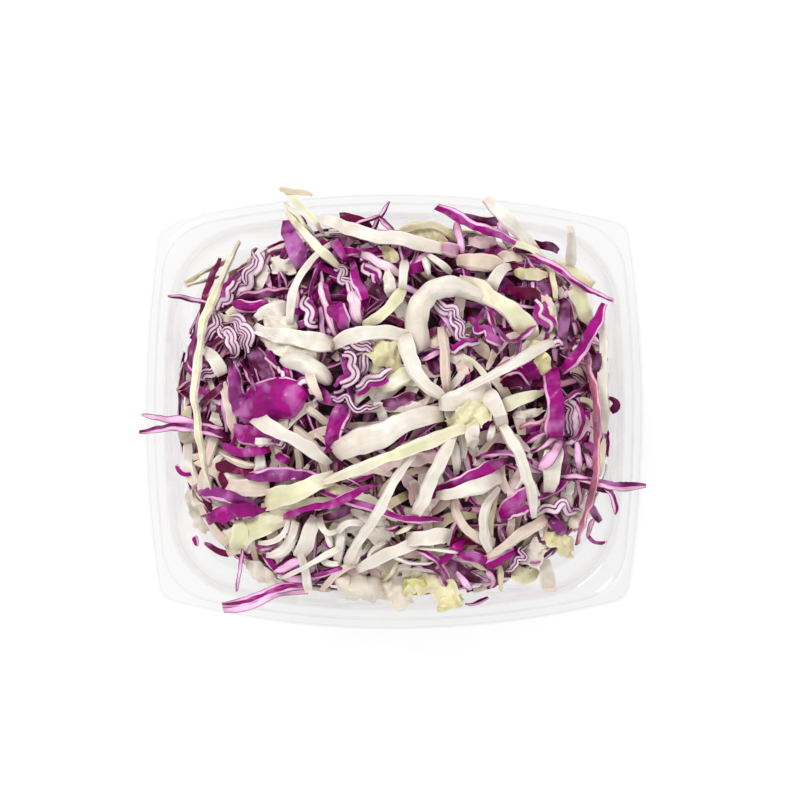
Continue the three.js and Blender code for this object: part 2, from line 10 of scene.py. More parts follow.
import bpy
import numpy as np
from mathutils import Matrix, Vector


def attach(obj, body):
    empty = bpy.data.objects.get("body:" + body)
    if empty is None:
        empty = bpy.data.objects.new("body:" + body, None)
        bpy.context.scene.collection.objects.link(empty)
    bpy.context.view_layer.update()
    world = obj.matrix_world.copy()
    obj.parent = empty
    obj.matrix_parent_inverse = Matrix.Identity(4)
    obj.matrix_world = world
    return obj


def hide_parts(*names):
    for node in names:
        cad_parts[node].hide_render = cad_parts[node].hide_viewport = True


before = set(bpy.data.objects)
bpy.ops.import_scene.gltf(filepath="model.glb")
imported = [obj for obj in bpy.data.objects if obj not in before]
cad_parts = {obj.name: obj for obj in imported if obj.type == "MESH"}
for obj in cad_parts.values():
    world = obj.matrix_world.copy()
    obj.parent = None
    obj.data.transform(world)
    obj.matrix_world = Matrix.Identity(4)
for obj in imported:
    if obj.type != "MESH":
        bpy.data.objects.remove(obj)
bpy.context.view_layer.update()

MM = 0.001
SEED = 4117
SHARP_ANGLE = 38  # least turn between faces that shows as an edge, in degrees

# ---- Tub ----
TUB_LENGTH = 184
TUB_WIDTH = 161
TUB_HEIGHT = 52
WALL = 0.8
SIDE_RADIUS_X = 440
SIDE_RADIUS_Y = 340
LIP_CORNER = 7
LIP_DROP = 3.6
BEAD_INSET = 3.6
BEAD_HALF = 1.1
BEAD_RISE = 0.9
BEAD_CORNER = 21
OPENING_INSET = 7.6
OPENING_CORNER = 32
SHOULDER_DROP = 11.5
SHOULDER_STEP = 1.4
SHOULDER_LEDGE = 1.5
UPPER_DRAFT = 0.9
FOOT_INSET = 12.4
FOOT_RADIUS = 4
FOOT_CORNER = 24
MOST_BEND = 0.48  # of the shorter side of a bend in the profile
POINTS_PER_ARC = 12
POINTS_PER_CORNER = 16
BEND_POINTS = 5

# ---- Heap ----
EDGE_LEVEL = 42
CROWN_LEVEL = 68
HEAP_HALF_X = 84
HEAP_HALF_Y = 73
HEAP_POWER = 2.3
DOME_POWER = 2.2
LUMP = 1.2
LUMP_LENGTH = 8
LAYER = 2.3  # height of one level of placed strips
END_SINK = 1.5  # of a placed strip's ends in the heap
OPENING_POWER = 6
OVER_RIM = 1.25
RIM_LEAN_START = 3.5
RIM_LEAN = 2
RIM_SOFT = 0.8  # over how much a strip bends where it comes up to the rim
HEAP_CORNER = 58  # rounder than the tub's, so the corners stay free
HEAP_LEAN = 1.5  # how far its side leans out with the wall
FILL_DEPTH = 8.5  # of loose shreds over the core
CORE_GAP = 5.5  # from the wall to the core
CORE_FOOT = 4.2  # from the tub's floor to the core
CORE_EDGE = 6  # from the core's shoulder to the heap's edge, less the loose shreds
CORE_WAIST = 22  # level up to which the core's side leans out
CORE_LEAN = 1.4
CORE_RINGS = 22  # over its top

# ---- Kinds of strip ----
# Width and depth, share of width at the ends, ruffle of the faces, frill of the edges, unevenness of width,
# twist and wander of the run, then wavelength of the ruffle, share of depth at the edges, lean of the cut
# edges and step of the path.
KINDS = {
    "rib": dict(wide=4.6, deep=2.0, tip=0.8, ruffle=0.2, frill=0.1, uneven=0.2, turn=0.32, wander=0.55),
    "pale": dict(wide=4.2, deep=1.3, tip=0.6, ruffle=0.45, frill=0.25, uneven=0.24, turn=0.4, wander=0.5),
    "leaf": dict(wide=3.4, deep=1.3, tip=0.6, ruffle=0.45, frill=0.35, uneven=0.24, turn=0.5, wander=0.8),
    "slice": dict(wide=4.4, deep=3.0, tip=0.75, ruffle=0.1, frill=0.0, uneven=0.1, turn=0.06, wander=0.5),
    "cream": dict(wide=6.0, deep=0.7, tip=0.4, ruffle=1.5, frill=1.1, uneven=0.38, turn=0.4, wander=0.8),
}
KINDS["rib"].update(wave=16, edge=0.74, lean=0.5, step=1.1)
KINDS["pale"].update(wave=16, edge=0.8, lean=0.7, step=1.1)
KINDS["leaf"].update(wave=11, edge=0.88, lean=1.1, step=1.1)
KINDS["slice"].update(wave=7, edge=0.88, lean=0, step=0.7)
KINDS["cream"].update(wave=12, edge=0.5, lean=0, step=0.7)
for kind, usual in KINDS.items():
    # Wavelengths of frill and width, unevenness of colour, and whether the skin fades into the flesh.
    usual["frill_length"], usual["swell"] = (17, 13) if kind == "cream" else (9, 26)
    usual["shade"], usual["fading"] = (0.34, 0) if kind in ("leaf", "slice") else (0.07, 1)
# Colours of a strip's leaf skin and of its cut flesh, in sRGB.
TONES = {
    ("leaf", "bright"): ((162, 4, 128), (248, 206, 232)),
    ("leaf", "dark"): ((86, 1, 54), (222, 158, 194)),
    ("leaf", "wine"): ((114, 3, 62), (232, 178, 194)),
    ("leaf", "pink"): ((182, 104, 130), (226, 174, 188)),
    ("leaf", "mauve"): ((150, 50, 132), (240, 190, 226)),
    ("leaf", "lavender"): ((120, 8, 90), (250, 196, 232)),
    ("leaf", "blush"): ((152, 12, 116), (244, 216, 226)),
    ("slice", "bright"): ((86, 4, 62), (240, 210, 226)),
    ("rib", "bright"): ((228, 220, 206), (234, 229, 220)),
    ("rib", "beige"): ((219, 199, 182), (228, 212, 198)),
    ("rib", "pink"): ((206, 150, 178), (230, 208, 212)),
    ("pale", "bright"): ((222, 219, 178), (234, 229, 210)),
    ("pale", "olive"): ((200, 191, 146), (214, 205, 176)),
    ("pale", "yellow"): ((222, 214, 166), (230, 222, 196)),
    ("pale", "green"): ((204, 206, 148), (224, 220, 188)),
    ("cream", "bright"): ((230, 221, 204), (235, 228, 216)),
    ("cream", "beige"): ((225, 207, 190), (231, 216, 202)),
    ("cream", "yellow"): ((228, 219, 160), (234, 226, 196)),
    ("cream", "olive"): ((208, 197, 152), (218, 208, 178)),
    ("cream", "green"): ((202, 207, 112), (226, 222, 166)),
    ("cream", "pink"): ((220, 186, 188), (228, 204, 204)),
}
CUT_UP = ("lavender", "blush")  # tones of red cabbage that lies with its cut face up
BLOOM_AND_SHEEN = (208, 142, 204)  # the waxy bloom on red leaves, and a painted lilac sheen
RED_GLOSS = 0.17
LIGHT_GLOSS = 0.45
NAMES = {
    "rib": ("white_ribs", "white_cabbage_rib"),
    "pale": ("pale_shreds", "pale_cabbage_leaf"),
    "leaf": ("red_shreds", "red_cabbage_leaf"),
    "slice": ("red_slices", "red_cabbage_layers"),
    "cream": ("cream_scraps", "cream_cabbage_leaf"),
}
SURFACES = {
    "rib": dict(rough=(0.36, 0.42), border=0.15, mottle=0.12, subsurface=0.18),
    "pale": dict(rough=(0.38, 0.44), border=0.15, mottle=0.1, subsurface=0.15),
    "leaf": dict(rough=(0.22, 0.4), border=0.2, mottle=0.28, veins=0.4, bloom_and_sheen=0.45),
    "slice": dict(rough=(0.3, 0.4), border=0.25, mottle=0.2, veins=0.2, bloom_and_sheen=0.25),
    "cream": dict(rough=(0.38, 0.44), border=0.15, mottle=0.12, subsurface=0.15),
}


# ---- Strips seen from above ----
def placed(kind, start_x, start_y, end_x, end_y, wide, level, tone="bright", **changes):
    """A placed strip: its kind, both ends in plan, and how it differs from its kind."""
    return kind, (start_x, start_y, end_x, end_y), dict(changes, wide=wide, level=level, tone=tone)


rib, pale, leaf, layers, cream = (partial(placed, kind) for kind in KINDS)

# ---- Strips placed one by one, as the photo shows them ----
SHOWN = [
    # Left side, top corner down
    pale(-57, 63, -67, -29, 3, 4, bow=-10, tip=0.4),
    pale(-77, 47.5, -63, 56.5, 2.2, 1, "olive", roll=50),
    pale(-76.5, 46, -66, 50.5, 1.8, 1, "olive", roll=50),
    leaf(-65, 57, -72, 33, 2.9, 3, "wine", roll=20),
    leaf(-83, 42.5, -65, 39, 1.8, 3, "lavender", tip=0.4),
    layers(-51, 60, -58, 44, 5, 2, bow=3),
    layers(-58, 50, -66, 37.5, 4.6, 2, bow=1),
    layers(-65.5, 36.5, -69, 25, 3.8, 1),
    layers(-63, 33, -54.5, 20, 6, 2, bow=5),
    layers(-65.5, 30, -59.5, 20, 4.6, 2, bow=4),
    rib(-69, 22.5, -63, 14, 5, 2, bow=1),
    layers(-70, 11.5, -62.5, 14.5, 4, 1, bow=1.5),
    leaf(-57.5, 41.5, -37.5, 44.5, 3.6, 2, "dark", roll=25),
    leaf(-59, 39, -46.5, 40, 4.8, 2, bow=-1.5),
    rib(-23, 62, -38, 32, 2.8, 4, bow=-4),
    cream(-49, 45, -50, 58, 6, 0),
    cream(-45.5, 55, -36, 52, 7, 0),
    rib(-50.5, 34, -39.5, 38, 5.6, 2, bow=1, ruffle=0.8, frill=0.6),
    rib(-50, 30.5, -22, 25, 6, 3, bow=-1.5, ruffle=0.9, frill=0.8),
    cream(-47, 35, -36, 27, 9, 2),
    cream(-48.5, 27, -28, 18, 6.5, 2),
    rib(-38, 19, -24.5, 11.5, 6.6, 2, bow=1, cup=0.9, ruffle=0.6),
    rib(-30.5, 15, -27, 4.5, 3.6, 3, "beige"),
    layers(-36, 10, -27.5, 4, 3, 2, bow=3),
    leaf(-51, 22.5, -44, 10, 6.4, 1, "dark", ruffle=1.6, frill=1.2),
    layers(-41, 16, -37.5, 11, 4.6, 1),
    leaf(-79.5, 7.5, -73.5, 11.5, 2.6, 1, "wine"),
    leaf(-79, 7, -73, 4, 2.2, 1, "wine"),
    rib(-62.5, 10, -58, -7.5, 3.8, 2, "beige"),
    leaf(-59, 16.5, -55, -2.5, 6.2, 2, "mauve", ruffle=1.3, frill=1),
    leaf(-55.5, 18, -55.5, -3.5, 1.9, 3, "lavender", bow=4, roll=60),
    leaf(-71, 2, -63, 10, 3.2, 2, "wine"),
    leaf(-71.5, -2.5, -60.5, -11, 3.2, 2, "dark"),
    leaf(-92.5, -1, -63, -6, 3, 3, "lavender", tip=0.4, roll=20),
    leaf(-93.5, -7, -62, -8.5, 3, 3, "lavender", bow=1.5, tip=0.4, roll=20),
    leaf(-62.5, -12.5, -45.5, -13.5, 3.6, 3, bow=-1.5),
    leaf(-58, -7, -42.5, -11, 6.4, 2, ruffle=1.3, frill=1),
    rib(-50, -11, -45, -11, 3.4, 3),
    rib(-63.5, -15, -50.5, -19.5, 2.6, 2, "beige", bow=-1),
    leaf(-65, -20, -51, -22, 4.8, 1, "wine"),
    leaf(-63.5, -22.5, -61, -29.5, 3, 1, "wine"),
    rib(-69.5, -19.5, -65, -8.5, 4.2, 1, "beige"),
    rib(-49, -15, -48.5, -23.5, 4.6, 1),
    leaf(-80, -20, -74.5, -23, 1.7, 1, bow=-1.5),
    layers(-42.5, -12, -34.5, -10.5, 3, 2),
    leaf(-42.5, -16, -38, -18, 4, 2),
    rib(-61, -27.5, -45.5, -27.5, 7, 1, "beige"),
    leaf(-54, -23, -24, -24.5, 4.8, 3, "mauve", bow=1, ruffle=1.4, frill=1.4),
    leaf(-72, -30.5, -50, -35, 4.4, 2, "mauve", bow=1.5, ruffle=1.2, frill=1),
    leaf(-70.5, -40.5, -45.5, -35, 5.6, 2, bow=1, roll=20, ruffle=1.3),
    pale(-37.5, -37, -63, -50, 9, 1, bow=-1, ruffle=1, tip=0.8),
    pale(-56.5, -40.5, -58, -51, 6, 1),
    leaf(-70.5, -49, -62, -54, 2.4, 0, "wine"),
    leaf(-74.5, -46.5, -73.5, -50, 2, 0),
    leaf(-57.5, -66, -56.5, -51, 1.5, 2, "lavender"),
    leaf(-63, -71, -31.5, -64.8, 3.4, 3, bow=1, sway=-1, uneven=0.1, wander=0.2),
    leaf(-62.7, -72.8, -31.8, -66.4, 3.6, 2, "lavender", bow=1, sway=-1, uneven=0.1, wander=0.2),
    rib(-76.5, -12, -73, -27, 4.6, 0, bow=-1),
    cream(-75.5, -29, -69, -44, 6, 0, bow=-2),
    rib(-72, -36, -62, -50, 3.2, 1, "beige"),
    pale(-76.5, 2, -77, -9, 3, 0, "yellow"),
    # Lower left and the bottom
    rib(-35.5, -40.5, -46.5, -53, 4, 2, bow=3),
    leaf(-50, -50.5, -43, -48.5, 4, 1),
    leaf(-48.5, -53, -43.5, -58.5, 3, 1),
    cream(-55.5, -55.5, -37.5, -66.5, 5, 0, bow=-1),
    leaf(-44, -59, -32, -54, 5.4, 1, "lavender"),
    leaf(-41, -62.5, -27, -61, 4.6, 1, "lavender"),
    rib(-28.5, -39, -34.5, -53, 5.6, 2),
    rib(-34.5, -51.5, -31.5, -66.5, 3.4, 2),
    rib(-40.5, -61.4, -19, -50, 2.3, 3, bow=0.6),
    rib(-26.6, -65.8, -12.5, -55.5, 2.7, 2, "beige", bow=2),
    rib(-13.5, -57.5, 9, -46.8, 4.6, 3),
    rib(-19, -43, -20.8, -56, 4, 2),
    rib(-27, -53.5, -20.5, -56, 2.4, 2, bow=-1),
    rib(-27, -40, -20, -43, 2.4, 3, bow=-3),
    rib(-20.5, -43.5, -10.5, -41, 2.6, 3, bow=2.5),
    rib(-26, -42.5, -22.5, -49, 2.6, 2),
    rib(-38.5, -39.5, -49.5, -48, 2, 3, bow=3.5),
    cream(-15, -36.5, -3, -39.5, 3.6, 2),
    pale(-25, -26, -16, -30, 5, 1, "olive"),
    pale(-44, -33.5, -22, -33, 4.4, 2),
    rib(-9, -48.5, -16.5, -51.5, 2.2, 2, bow=2),
    rib(-3, -48, -10, -56, 2, 2, bow=-2),
    rib(9, -49.5, 23, -51, 1.5, 3),
    rib(-1.3, -52.6, 14.2, -55, 1.6, 3, bow=-1.5),
    rib(-12.5, -45.5, -14.5, -55.5, 3, 2),
    cream(-9, -40, -1, -47, 8, 1),
    leaf(-3, -42.5, 2, -41.5, 1.8, 2, "lavender"),
    pale(0.5, -44.5, 7, -40.5, 1.8, 3),
    leaf(-30, -61, -18, -57, 2.2, 2),
    cream(-21, -62, -4, -67, 10, 0, cup=1.5),
    cream(-7, -64, 7, -69, 9, 0),
    cream(8, -62, 24, -72, 9, 1, "yellow", bow=2),
    cream(16, -73, 25, -68, 5, 0, "yellow"),
    cream(3, -65, 12, -63, 5, 1, "green"),
    pale(3.5, -67.5, 9.5, -62, 3, 1, "green"),
    pale(-4, -62, 1.5, -54, 1.3, 2, "yellow", bow=-1),
    leaf(7, -49.5, 20, -62, 2.6, 2, bow=2),
    leaf(6.5, -57, 19, -65.5, 1.9, 2, "lavender", bow=4, roll=60),
    leaf(17, -55.5, 26, -47.5, 2.8, 2),
    leaf(19.5, -55.5, 32.5, -63, 3.8, 1, "dark"),
    leaf(22.5, -58.5, 28.5, -65.5, 2.4, 2, "lavender"),
    leaf(23, -51, 36, -56, 3.4, 2),
    leaf(33.5, -57, 44.5, -51, 3.6, 2),
    layers(41, -59, 48, -48.5, 2.4, 2, bow=-2),
    leaf(34.5, -58.5, 35.5, -65.5, 3.4, 1, "lavender", bow=2),
    leaf(26, -70, 34.5, -68.5, 1.3, 1, "lavender", bow=-0.8),
    leaf(17, -66.5, 28, -65, 1.5, 1, "wine", bow=1),
    pale(39, -57, 40, -66.5, 2, 1, "olive"),
    cream(46.5, -54.5, 55.5, -50.5, 8, 1),
    cream(55.5, -45.5, 66.5, -52, 7, 1, "yellow"),
    cream(43.5, -60, 54, -61, 6, 0, "yellow"),
    leaf(49.5, -56, 54, -56, 2.2, 1, "wine"),
    rib(56, -55, 57, -66, 5, 0),
    # Top edge
    pale(-42, 82, -26, 66, 2.6, 2, bow=1, tip=0.4),
    pale(-42, 81.5, -30, 79, 2.2, 3, "olive", bow=0.6),
    pale(-40, 77, -30, 65, 2.2, 3),
    leaf(-38, 73, -33, 68.5, 4.2, 2, "wine"),
    pale(-39.5, 72.5, -21, 53, 3.2, 4),
    leaf(-40, 70, -34, 52.5, 6.5, 3, "mauve", roll=10, tip=0.4, ruffle=0.9),
    rib(-26.5, 70, 18, 60, 5, 4, bow=-1),
    rib(17, 59.5, 23, 58.5, 5.4, 3, "pink"),
    leaf(-20, 71.5, -9, 67, 4.4, 2, "wine", bow=1.5, roll=10),
    leaf(-1.5, 77, -10, 65, 1.8, 3, "lavender", tip=0.4),
    leaf(-5, 71.5, 1, 65, 2.3, 3, "lavender"),
    leaf(-15.5, 68.5, -5, 71.5, 1.8, 3, "lavender"),
    pale(2, 66, 23, 63, 3.4, 2, "olive", bow=4),
    cream(5, 64, 20, 61.5, 3.6, 1, "olive", bow=2),
    leaf(15.5, 75, 47, 61, 3.5, 4, roll=25),
    leaf(23, 69.5, 25, 58.5, 3.4, 2, "lavender"),
    leaf(25.5, 72, 41, 69, 3.2, 1, "dark"),
    leaf(38.5, 69.5, 42.5, 61, 3.2, 2, "lavender"),
    cream(28, 63, 38, 62, 5, 1, "pink"),
    leaf(46.5, 64, 61, 59.5, 3.8, 2, "dark", bow=1, roll=25),
    rib(33.5, 78, 52, 60, 5, 3),
    pale(42, 62, 57.5, 52, 2.8, 3, bow=3),
    pale(57.5, 53, 59.5, 41, 2.2, 2, "yellow"),
    rib(65, 68, 65.5, 54.5, 4, 2),
    pale(58, 55, 74, 47.5, 5, 0, "yellow"),
    pale(65.5, 45.5, 73, 33, 6.5, 1),
    leaf(50, 57.5, 80, 40, 2.9, 5, roll=30),
    # Upper right
    leaf(78, 39.5, 62, 14.5, 4.6, 4, bow=1, roll=15),
    rib(77, 36, 77, -7.5, 3.9, 2),
    leaf(62, 41, 65.5, 33, 4, 1, "wine"),
    cream(55, 43.5, 59.5, 30, 3.4, 2, "beige"),
    leaf(53, 49, 59.5, 41, 5.2, 1, "dark"),
    leaf(61.5, 41, 63, 26.5, 4.2, 1, "dark"),
    rib(23.5, 55, 41, 52, 6, 3, "beige", bow=1),
    rib(42.5, 53, 35.5, 44, 4.4, 3, bow=-2),
    cream(38, 56.5, 48, 57, 4, 1, "beige"),
    leaf(44.5, 59.5, 52, 61, 3.6, 2, "dark"),
    cream(44.5, 51.5, 55.5, 50, 4.6, 1, "olive"),
    pale(25, 48, 51, 27, 7, 3, bow=2),
    leaf(41, 44.5, 53.5, 42, 4.4, 1, "wine"),
    layers(51.5, 41, 57, 29.5, 5, 2),
    leaf(34, 36.5, 53, 33, 1.9, 3, "lavender", bow=-9, roll=65),
    leaf(33, 41, 39, 35.5, 4.6, 1),
    layers(27, 32, 39, 24.5, 3.2, 2),
    rib(11, 56, 13, 49, 2.6, 4),
    rib(13, 56.5, 20.5, 51.5, 2.6, 4),
    rib(3.7, 54.5, 3, 44, 3.2, 4),
    pale(3, 44.5, -11, 31.5, 4.4, 4, bow=2),
    rib(9, 24.5, 32.5, 41.5, 8, 3, bow=13, flare=-0.4, ruffle=0.6, cup=0.8),
    # Upper middle
    rib(-21.5, 24, 5, 27, 5.2, 4, bow=3),
    rib(3.5, 28, 19, 4, 5.4, 4, bow=-3.5),
    leaf(-26.5, 47, -19.5, 27, 4, 3, "blush", bow=-1),
    leaf(-22, 63, -18, 55, 3.4, 4),
    leaf(-18.5, 58, -12.5, 58.5, 3, 3),
    leaf(-15.5, 55, -11, 40, 3.9, 3),
    layers(-20.5, 53, -13, 39.5, 3.8, 2),
    leaf(-21.5, 39, -17.5, 30, 6, 3, roll=10, ruffle=1),
    leaf(-17, 38, -13, 31, 3.6, 2, "dark"),
    layers(-33, 42.5, -28, 30, 4.6, 2),
    leaf(-12, 58, 2, 50, 3.6, 2, "blush"),
    layers(-12, 55, -4, 47, 4.6, 1),
    leaf(-12.5, 44.5, -3, 42, 5, 0, "dark"),
    cream(-3.5, 53, -0.5, 42, 3.6, 2),
    cream(-5, 59.5, 1, 55, 5, 1, "olive"),
    leaf(3.5, 51, 11, 53.5, 4, 2),
    leaf(-15, 44, -12, 32, 5, 2, "blush"),
    cream(-0.5, 41, 6, 31.5, 5, 1),
    leaf(-5, 34.5, 4, 32, 3, 1, "wine"),
    layers(14, 39, 24.5, 30, 4.6, 1, bow=2),
    layers(21.5, 34.5, 25.5, 25, 4, 2),
    layers(19, 22.5, 31, 26, 3, 2),
    leaf(33, 28, 39, 24.5, 4, 2),
    cream(20.5, 21, 28, 14.5, 6, 0, "beige"),
    rib(17.5, 30, 19, 7, 3.7, 3, "beige"),
    leaf(9, 26.5, 15.5, 30, 3, 1, "wine"),
    leaf(10.5, 18, 17, 22.5, 2, 2, "lavender"),
    leaf(13, 22, 15.5, 13.5, 5, 0, "dark"),
    # Middle
    layers(-20, 25, -7, 22.5, 5, 3, bow=1),
    layers(-19, 22, -22, 8.5, 5, 3, bow=6),
    layers(-15.5, 22, -11, 12.5, 3.8, 2, bow=2),
    layers(-15.5, 7, -0.5, 14, 4.6, 3),
    layers(-24, 3, -5, 3, 2.4, 3, sway=2),
    cream(-9, 22.5, 2.5, 18.5, 10, 2, "yellow"),
    pale(6.5, 15, -4.5, 7.5, 5.6, 2),
    leaf(-4.5, 3.5, 8, 5, 5, 1, "dark"),
    leaf(-54.5, 0.5, -33.5, 6.5, 15.5, 1, roll=4, ruffle=0.7, frill=0, tip=0.6, cup=0.75, flare=0,
         uneven=0.12, turn=0.1),
    leaf(-18, 2.5, -23, -14, 6.4, 3, ruffle=1.5, frill=1),
    rib(-51, -2, -23.5, -18.5, 5, 5, bow=1),
    rib(-20.5, -15, 17, 0, 8.6, 3, bow=1),
    pale(-46.5, -32.5, -22, -24, 6.8, 4, tip=0.95, uneven=0.08, flare=-0.4),
    pale(-27, -26, 28, -4.5, 4.4, 5, tip=0.8, uneven=0.12, wander=0.2),
    rib(17, 3, 34.5, 8.5, 7, 4),
    cream(19.5, -5, 35.5, 3.5, 10, 4, "yellow"),
    rib(33, 7, 39, -6, 6, 4, bow=1),
    cream(28.5, -3, 28, -13.5, 4.6, 4, tip=0.3),
    rib(35.5, -5, 34.5, -10.5, 3, 4, tip=0.3),
    # Right side
    rib(23, 6.5, 58, 25.5, 3.5, 5),
    leaf(39.5, 11, 49, 8, 5.6, 2, "dark", bow=3, ruffle=1.2),
    leaf(38.5, 12, 49.5, 9.5, 1.9, 3, "lavender", bow=3.5, roll=60),
    leaf(46.5, 19.5, 51, 11.5, 5.6, 2),
    cream(50, 24, 57, 14.5, 6.5, 2, "yellow"),
    layers(55.5, 25, 62, 24.5, 3, 2),
    pale(38, 1.5, 54, 7, 4.4, 2),
    cream(43.5, -2, 54, 1, 3.2, 1),
    leaf(46, -6.5, 57.5, -2, 2.8, 2, "pink", roll=50),
    leaf(48, -10.5, 58.5, -5.5, 2.8, 2, "lavender", roll=50),
    leaf(50, -14.5, 60, -9, 2.8, 2, "lavender", roll=50),
    leaf(57, 15, 58.5, -9.5, 6.6, 5, roll=8, tip=0.95, uneven=0.08),
    rib(58, -14, 57, -29, 6.6, 2),
    leaf(60.5, -11, 54, -21, 4.4, 3, "lavender"),
    leaf(70, 23.5, 67.5, -49.5, 2.6, 5, "pink", bow=5.5, roll=40),
    layers(62.5, 5, 63, -10.5, 5, 2, bow=3),
    leaf(66.5, 4, 64, -10.5, 2, 3, "lavender", bow=4, roll=60),
    leaf(61, 3, 69.5, 8, 1.9, 3, "lavender", roll=60),
    leaf(76, 22, 71.5, 7, 2.6, 2, "dark"),
    leaf(67, -10.5, 68, -22, 2.6, 2, "lavender"),
    leaf(70, -16, 73, -20, 4, 1, "lavender"),
    leaf(61.5, -24, 80.5, -26.5, 2.8, 3, "lavender"),
    leaf(69, -26.5, 80, -29.5, 3, 2, "wine"),
    leaf(66, -25.5, 92.5, -28, 3, 4, "lavender", tip=0.4, roll=15),
    leaf(76, -28, 81, -38, 2, 2, "lavender", bow=2, tip=0.3),
    leaf(79, 5, 79.5, 0, 3, 1, "dark", bow=2),
    leaf(72, -34, 76, -41, 3, 2, "dark"),
    leaf(74.5, -40.5, 72, -46.5, 1.9, 2, "lavender"),
    leaf(72, -46.5, 78, -48, 1.9, 1, bow=-2),
    layers(53.5, -38.5, 68, -38, 3.6, 3, bow=4),
    leaf(58, -39, 62.5, -45, 4.4, 2, "mauve", ruffle=1),
    leaf(48.5, -28, 39, -38.5, 6, 2, ruffle=1.1),
    layers(41, -40, 51, -39.5, 3.2, 3, bow=4),
    pale(79, 14, 78, 2, 2.6, 1, "yellow", bow=-1),
    pale(77.5, -10, 75.5, -24, 3, 1),
    cream(73, -31, 66, -44, 5, 0),
    # Lower middle
    leaf(11.5, -30.5, 40.5, -17.5, 4.6, 3, roll=20),
    leaf(30, -16.5, 50, -19, 1.9, 4, "lavender", bow=3, roll=60),
    rib(38.5, -4.5, 51, -38.5, 4.1, 5, bow=2.5),
    rib(15.5, -30, 38, -24, 5.2, 3, bow=-1),
    rib(38, -28, 35, -51, 3.6, 3, bow=-4),
    rib(21.5, -32.5, 36, -48.5, 3.8, 2, "beige", bow=-3),
    rib(55, -39.5, 34, -54, 4.2, 2, "beige"),
    rib(21.5, -7.5, 7.5, -37.5, 4.8, 5, tip=0.7),
    rib(7, -14, -17.5, -55.5, 3.6, 5),
    rib(21.5, -10.5, 23, -22, 3, 2),
    leaf(-6, -26.5, -40, -38.5, 3.2, 5, roll=20),
    leaf(-26.5, -28, 17.5, -40, 2.9, 4, bow=-2),
    rib(5, -46, 20, -45.5, 5.4, 3, tip=1),
]

MOST_LIFT = 4.0  # of a placed strip over what it crosses
PAINTED_END_SHADE = 0.35  # how deep the painted shade is on a placed strip's ends, where they sink into the heap
SWAY = 0.5  # up and down along a placed strip
SWAY_LENGTH = 16
WANDER_LENGTH = 28  # wavelength of a strip's wander in plan
LEAST_STEPS = 6

# ---- Shreds that fill the heap, line the wall and lie on the floor ----
TOP_SHREDS = 700
TOP_TRIES = 12  # for each of them, at most
WALL_SHREDS = 320
FLOOR_SHREDS = 90
WALL_SPREAD = (0.7549, 0.5698)  # shares of the way round the wall and up it, from shred to shred
WALL_JITTER = (0.03, 0.08)  # and what chance adds to each step
WALL_BOW = 0.15
WALL_WAVE = 0.4
WALL_WAVE_LENGTH = 18
FOOT_BEND = 6  # level under which the shreds come in over the bend of the foot
BEND_IN = 0.12
WALL_LEVELS = (4, 40)
WALL_LOWEST = 2.6
WALL_HIGHEST = 41.5
WALL_PLIES = 3
PLY = 1.5
WALL_GAP = 0.35
FLOOR_PLIES = 3
FLOOR_PLY = 1.1
FLOOR_HALF_X = 72
FLOOR_HALF_Y = 61
FLOOR_MARGIN = 5
FLOOR_BOW = 0.2
FLOOR_WANDER = 0.5
TOP_MARGINS = (0.4, -0.6)  # from the heap's outline, of a shred anywhere and of one along its edge
TOP_BOW = 0.22  # of a shred, at most, as a share of its span
TOP_WANDER = 0.6
FILL_TOP = 1.9  # how far above the heap's surface they may reach
FIELD_CELL = 1.0
FIELD_PROBES = 5  # across a strip
FIELD_HALF_X = 96
FIELD_HALF_Y = 86
SPOT_HALF_X = 80
SPOT_HALF_Y = 70
SPOTS = 6  # tried for each shred, the lowest taken
SHRED_SPAN = (12, 44)
WALL_SPAN = (12, 34)
FLOOR_SPAN = (14, 40)
EDGE_SHARE = 0.38  # of the shreds that lie along the heap's edge
EDGE_INSET = 4
EDGE_SPAN = (8, 22)
EDGE_TURN = 0.9  # usual angle to the edge
WALL_SLOPE = 0.45  # usual angle to the level
LOOSE_WIDTH = (0.3, 1.1, 0.75)  # least, most and usual share of the kind's width
LOOSE_DEPTH = (0.7, 1.0)
LOOSE_FRILL = 0.6
LOOSE_RUFFLE = 0.7
LOOSE_ROLLS = ((-30, 30), (50, 80))  # each for a quarter of the red shreds, in degrees
COARSE_STEP = 1.9
COARSE_COLUMNS = 3
RED_MIX = (
    ("leaf", "bright", 0.22),
    ("leaf", "dark", 0.17),
    ("leaf", "wine", 0.11),
    ("leaf", "mauve", 0.1),
    ("leaf", "lavender", 0.4),
)
LIGHT_MIX = (
    ("rib", "bright", 0.28),
    ("rib", "beige", 0.3),
    ("pale", "bright", 0.12),
    ("pale", "olive", 0.03),
    ("cream", "bright", 0.12),
    ("cream", "beige", 0.07),
    ("cream", "pink", 0.06),
    ("leaf", "blush", 0.14),
)
LIGHT_SHARE = 0.41  # of white cabbage, at the middle
LIGHT_SLOPE = 0.0068  # and its growth for each millimetre towards -Y
LIGHTER_Y = -25  # where the mix is as light as it is along the wall
DEPTH_SHADE_TINT = (0.74, 0.47, 0.43)  # painted shade deep in the heap: what it leaves of a colour, in linear light
